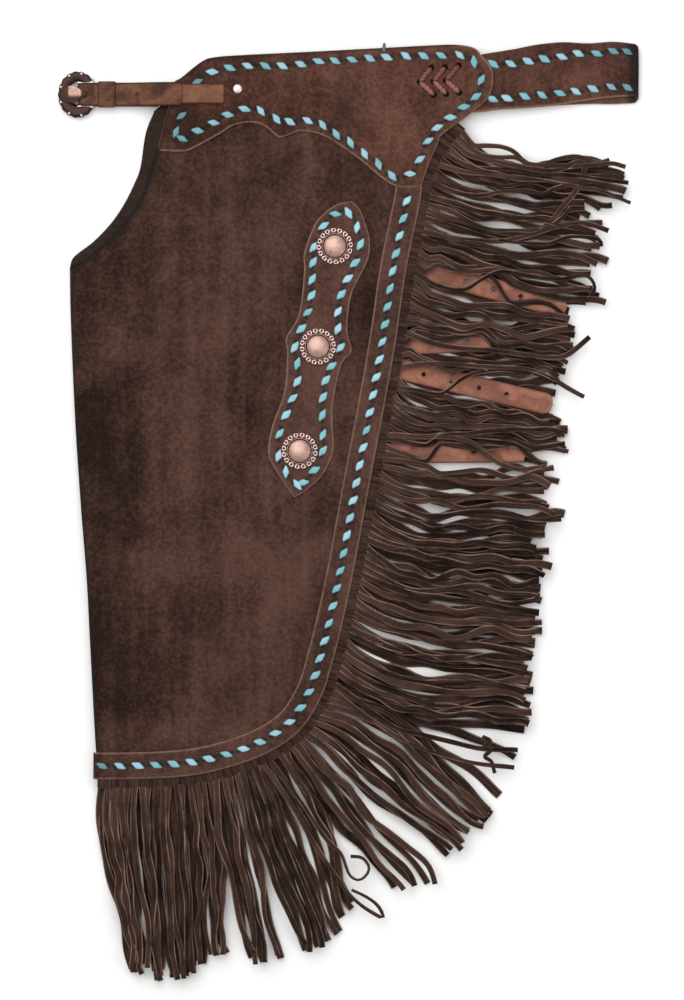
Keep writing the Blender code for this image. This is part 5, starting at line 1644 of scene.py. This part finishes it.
@dataclass
class Fringe:
    """A fringe: the strip that holds it, and the strands cut in it, which lie in locks."""

    name: str
    node: str
    count: int
    strip_z: float
    strand_z: float
    seed: int
    routes: dict[int, tuple]
    waviness: float
    rests_on: str
    parts: bool
    strand_width: float = 5.7
    strand_wall: float = 1.1
    lift: float = 1.4
    strip_in: float = 4.9
    strip_out: float = 20.0
    strip_wall: float = 1.7
    points_along: int = 46
    ceiling: float = 40.0

    def part_round_straps(self, points: np.ndarray, root: np.ndarray) -> np.ndarray:
        """Moves strands aside from the leg straps, to the side that each root is on.

        Args:
            points: plan points, as strand, row, xy.
            root: each strand's root.

        Returns:
            The moved points.
        """
        for strap, (parting, opens, over, closes) in zip(LEG_STRAPS, PARTINGS):
            start, end = np.array(strap.start, float), np.array(strap.end, float)
            length = float(np.linalg.norm(end - start))
            axis = (end - start) / length
            across = np.array([-axis[1], axis[0]])
            side = np.where((root - start) @ across > 0, 1.0, -1.0)[:, None]
            along, own = (points - start) @ axis, side * ((points - start) @ across)
            window = smooth_step((along - opens) / over) * smooth_step((length - closes - along) / 25)
            moved = 0.5 * (np.sqrt(own**2 + 4 * parting**2) - own)
            shift = side * moved * window * smooth_step((own + 60) / 30) * smooth_step((45 - own) / 20)
            points = points + shift[..., None] * across
        return points

    def paths(self, loose: np.ndarray) -> tuple[np.ndarray, np.ndarray]:
        """Each strand's line in plan.

        A strand leaves its root between the edge's outward direction and its tip's, bends by the table
        and curls by two waves. It first heads for the mean of its neighbours' tips, so locks part
        further out. Strands with a given route follow that.

        Args:
            loose: random numbers from -1 to 1, as strand, kind.

        Returns:
            Points as strand, row, xy, and each strand's length.
        """
        line = curve_through(EDGE_LINE)
        outer = beside(line, self.strip_out)
        ways = beside(line, 1.0) - line
        reach = np.concatenate([[0], np.cumsum(np.linalg.norm(np.diff(outer, axis=0), axis=1))])
        along = np.interp(np.linspace(0, reach[-1], self.count + 1), reach, np.arange(len(line)))
        middle = 0.5 * (along[1:] + along[:-1])
        root, way = point_at(outer, middle), unit(point_at(ways, middle))
        percent = (np.arange(self.count) + 0.5) * 100 / self.count
        tip_x, tip_y, bend = (np.interp(percent, STRAND_ENDS[:, 0], STRAND_ENDS[:, k]) for k in (1, 2, 3))
        tip = root + (np.stack([tip_x, tip_y], axis=1) - root) * (0.97 + 0.035 * loose[:, 12, None])
        padded = np.pad(tip, ((7, 7), (0, 0)), mode="edge")
        mean_tip = np.stack([np.convolve(padded[:, k], np.ones(15) / 15, "valid") for k in (0, 1)], axis=1)
        chord, length = mean_tip - root, np.linalg.norm(tip - root, axis=1)
        ahead = unit(chord)
        left = np.stack([-ahead[:, 1], ahead[:, 0]], axis=1)[:, None, :]
        t = np.linspace(0, 1, 61)[None, :]
        lean = (way - ahead)[:, None, :] * (0.5 * length[:, None] * t * (1 - t) ** 3)[..., None]
        sway = np.interp(percent, [60, 75], [8.0, 4.0])
        bow = (bend + sway * loose[:, 13])[:, None] * 6.75 * t * (1 - t) ** 2
        gather = (tip - mean_tip)[:, None, :] * smooth_step((t - 0.4) / 0.6)[..., None]
        path = root[:, None, :] + chord[:, None, :] * t[..., None] + lean + left * bow[..., None] + gather
        if self.parts:
            path = self.part_round_straps(path, root)
        free = self.waviness * np.interp(percent, [0, 5, 55, 70, 100], [1.1, 1.8, 2.1, 1.4, 1.0])[:, None]
        curls = (
            loose[:, 0, None] * np.sin(2 * math.pi * (loose[:, 1, None] + (1.9 + 0.5 * loose[:, 2, None]) * t))
            + 0.6 * loose[:, 3, None] * np.sin(2 * math.pi * (loose[:, 4, None] + (3.4 + loose[:, 5, None]) * t))
        ) * free * smooth_step((t - 0.05) / 0.3) + 4.0 * loose[:, 6, None] * np.clip((t - 0.85) / 0.15, 0, 1) ** 2
        for number, route in self.routes.items():
            path[number] = evenly(curve_through(route), count=61)
            curls[number] *= 0.15
        path = path + left * curls[..., None]
        rows = np.linspace(0, 60, self.points_along)
        return np.stack([point_at(one, rows) for one in path]), length

    def strands(self) -> tuple[np.ndarray, dict[str, np.ndarray]]:
        """The strands as closed ribbons: a flat section that twists slowly about each line.

        Returns:
            Points as strand, row, ring point, xyz, and the marks of its finish at each.
        """
        loose = np.random.default_rng(self.seed).uniform(-1, 1, (self.count, 14))
        index = np.arange(self.count)
        routed = np.isin(index, list(self.routes))
        path, length = self.paths(loose)
        at = np.linspace(0, 1, self.points_along)[None, :]
        ahead = unit(np.gradient(path, axis=1))
        side = np.stack([-ahead[..., 1], ahead[..., 0]], axis=-1)
        level = self.strand_z + self.lift * np.where(routed, 4, index % 4)
        turns = loose[:, 8, None] + (1.3 + 0.6 * loose[:, 9, None]) * at
        twist = np.radians((30 + 26 * loose[:, 7, None]) * np.sin(2 * math.pi * turns)) * smooth_step((at - 0.06) / 0.2)
        wide = np.interp(index / self.count, [0, 0.38, 0.45, 0.66, 0.76, 1], [1.1, 1.1, 1.25, 1.3, 1.24, 1.24])[:, None]
        wide = np.where(routed[:, None], 0.8, wide)
        width = self.strand_width * (1 + 0.12 * loose[:, 10, None]) * (1 + (wide - 1) * smooth_step(at / 0.3))
        width = width * (1 - 0.22 * smooth_step((at - 0.4) / 0.5) * (index[:, None] > 0.72 * self.count))
        ease = smooth_step(at / 0.12)
        bob = 0.5 * np.sin(2 * math.pi * (loose[:, 11, None] + 1.6 * at)) * ease
        centre = (self.strip_z + 0.5) * (1 - ease) + level[:, None] * ease + self.strand_wall / 2
        centre = centre + 0.4 * width * np.abs(np.sin(twist)) + np.maximum(bob, -level[:, None] + 0.2)
        a = np.array([1.0, 0.84, 0.6, -0.6, -0.84, -1.0, -0.84, 0.84])
        b = np.array([0.0, 0.9, 1.0, 1.0, 0.9, 0.0, -0.9, -0.9])
        half, thick = 0.5 * width[..., None], 0.5 * self.strand_wall
        out = half * a * np.cos(twist)[..., None] - thick * b * np.sin(twist)[..., None]
        rise = half * a * np.sin(twist)[..., None] + thick * b * np.cos(twist)[..., None]
        plan = path[:, :, None, :] + side[:, :, None, :] * out[..., None]
        points = np.concatenate([plan, (centre[..., None] + rise)[..., None]], axis=3)
        points[..., 2] = np.clip(points[..., 2], 0.1, self.ceiling)
        ends = [np.repeat(points[:, [k]].mean(axis=2, keepdims=True), 8, axis=2) for k in (0, -1)]
        points = np.concatenate([ends[0], points, ends[1]], axis=1)
        spread = np.ones((self.count, self.points_along + 2, 8))
        # Raw cut edges on both sides; the upper corner of one side is lighter than the other's, a painted highlight.
        cut = np.array([1.0, 0.9, 0, 0, 0.4, 1.0, 0.3, 0.3]) * spread
        cut[:, [0, -1]] = 0.6
        at = np.concatenate([[0], at[0], [1]])[None, :, None]
        marks = {
            # Each strand's own tone, lighter over its first third as painted light.
            "tone": (0.38 + 0.36 * loose[:, 2, None, None] + 0.3 * (1 - smooth_step(at / 0.3))) * spread,
            "cut": cut,
            "across": (index[:, None, None] * 5.7 + a * 2.1) * spread,
            "along": at * (length / 26.0)[:, None, None] * spread,
        }
        return points, marks

    def make(self) -> bpy.types.Object:
        """Builds the strip and its strands as one piece.

        The strip's face dips along the cuts that part the strands, with painted shade there.
        """
        line = evenly(curve_through(EDGE_LINE), step=0.9)
        inner, outer = beside(line, self.strip_in), beside(line, self.strip_out + 1.0)
        share = np.linspace(0, 1, 13)[None, :, None]
        plan = inner[:, None, :] * (1 - share) + outer[:, None, :] * share
        reach = np.concatenate([[0], np.cumsum(np.linalg.norm(np.diff(outer, axis=0), axis=1))])
        phase = reach / reach[-1] * self.count
        apart = np.abs((phase + 0.5) % 1 - 0.5) * reach[-1] / self.count
        wander = np.random.default_rng(self.seed + 7).uniform(0.1, 0.8, self.count + 1)[np.floor(phase).astype(int)]
        cut_in = smooth_step((share[..., 0] - wander[:, None]) / 0.2)
        gap = np.exp(-((apart / 0.6) ** 2))[:, None] * cut_in
        ruffle = 0.5 * np.sin(phase * 2.1)[:, None] * share[..., 0] ** 2
        height = self.strip_z + self.strip_wall + ruffle - 0.9 * gap
        top = np.concatenate([plan, height[..., None]], axis=2)
        up = np.zeros_like(top)
        up[..., 2] = 1
        rings, cut = skin(top, up, self.strip_wall)
        slit = np.zeros(rings.shape[:2])
        # Painted shade in the cuts between the strands.
        slit[1:-1, : top.shape[1]] = 0.4 * gap
        strand_of = np.concatenate([phase[:1], phase, phase[-1:]])[:, None]
        draft = MeshDraft()
        draft.add_grid(rings, ring=True, tone=0.45 + 0.06 * np.sin(np.floor(strand_of) * 2.4), cut=0.4 * cut,
                       slit=slit, across=strand_of * 3.7, along=0.3)
        points, marks = self.strands()
        draft.add_grid(points, ring=True, **marks)
        made = draft.make(self.name, [Finish.FRINGE.material()])
        place(made, "fringe_suede", self.node)
        return made


NEAR_FRINGE = Fringe("near_fringe", "fringe_top", 125, PANEL_TOP - 1.7, 8.4, 11, STRAND_ROUTES, 2.2,
                     "far_fringe", True)
FAR_FRINGE = Fringe("far_fringe", "fringe_under", 118, 2.0, 0.3, 23, {}, 1.6, "layered_underside", False,
                    strand_width=6.8, lift=0.9, ceiling=5.8)


class Studio:
    """The pale floor, soft light and the camera straight above."""

    def make(self) -> None:
        """Sets up the floor, the lights, the world's light and the camera."""
        scene = bpy.context.scene
        scene.view_settings.view_transform = "Standard"
        camera = bpy.data.cameras.new("above")
        camera.sensor_fit = "VERTICAL"
        camera.sensor_height = 36.0
        distance = 6.0
        camera.lens = 36.0 * distance / PHOTO_HEIGHT_M
        viewer = bpy.data.objects.new("above", camera)
        viewer.location = ((342 - 346.8) * 0.95 * MM, (514.8 - 500) * 0.95 * MM, distance)
        scene.collection.objects.link(viewer)
        scene.camera = viewer
        draft = MeshDraft()
        reach = np.linspace(-3000, 3000, 5)
        x, y = np.meshgrid(reach, reach)
        draft.add_grid(np.stack([x, y, 0 * x - 0.3], axis=-1))
        floor = draft.make("floor", [Finish.FLOOR.material()])
        self.lamp("overhead", (-0.55, 0.95, 1.7), 2.4, 42.0)
        self.lamp("side", (1.6, -0.6, 1.6), 1.2, 8.0)
        world = bpy.data.worlds.new("room")
        world.use_nodes = True
        world.node_tree.nodes["Background"].inputs["Color"].default_value = (1.0, 0.99, 0.98, 1)
        world.node_tree.nodes["Background"].inputs["Strength"].default_value = 0.6
        scene.world = world

    @staticmethod
    def lamp(name: str, spot: tuple[float, float, float], size: float, power: float) -> None:
        """Hangs a square soft light that faces the middle of the object."""
        light = bpy.data.lights.new(name, "AREA")
        light.size = size
        light.energy = power
        holder = bpy.data.objects.new(name, light)
        holder.location = spot
        direction = -holder.location
        holder.rotation_euler = direction.to_track_quat("-Z", "Y").to_euler()
        bpy.context.scene.collection.objects.link(holder)


def main() -> None:
    logging.basicConfig(level=logging.INFO, format="%(name)s %(message)s")
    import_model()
    Studio().make()
    UnderLayers().make()
    FAR_FRINGE.make()
    NEAR_FRINGE.make()
    EdgeBinding().make()
    YOKE.make()
    PATCH.make()
    tail = Lacing("yoke_lace_tail", np.array([(35.3, 442.6)]), np.array([1.5]), np.array([YOKE_TOP - 0.6]),
                  length=9.0, width=3.0, slant=0.0, turn=0.0, shades=np.array([0.8]))
    place(tail.make(), "yoke_suede")
    LegPanel().make()
    YokeLacing().make()
    lacings = belt_lacings()
    BELT.make(lacings)
    for run in lacings:
        place(run.make(), "yoke_suede")
    CHAPE.make()
    BILLET.make()
    Keeper().make()
    Buckle().make()
    for number, centre in enumerate(((-11.4, 254.6), (-27.4, 159.4), (-44.7, 60.6)), 1):
        Concho(number, centre).make()
    Rivet().make()
    for strap in LEG_STRAPS:
        strap.make()


if __name__ == "__main__":
    main()
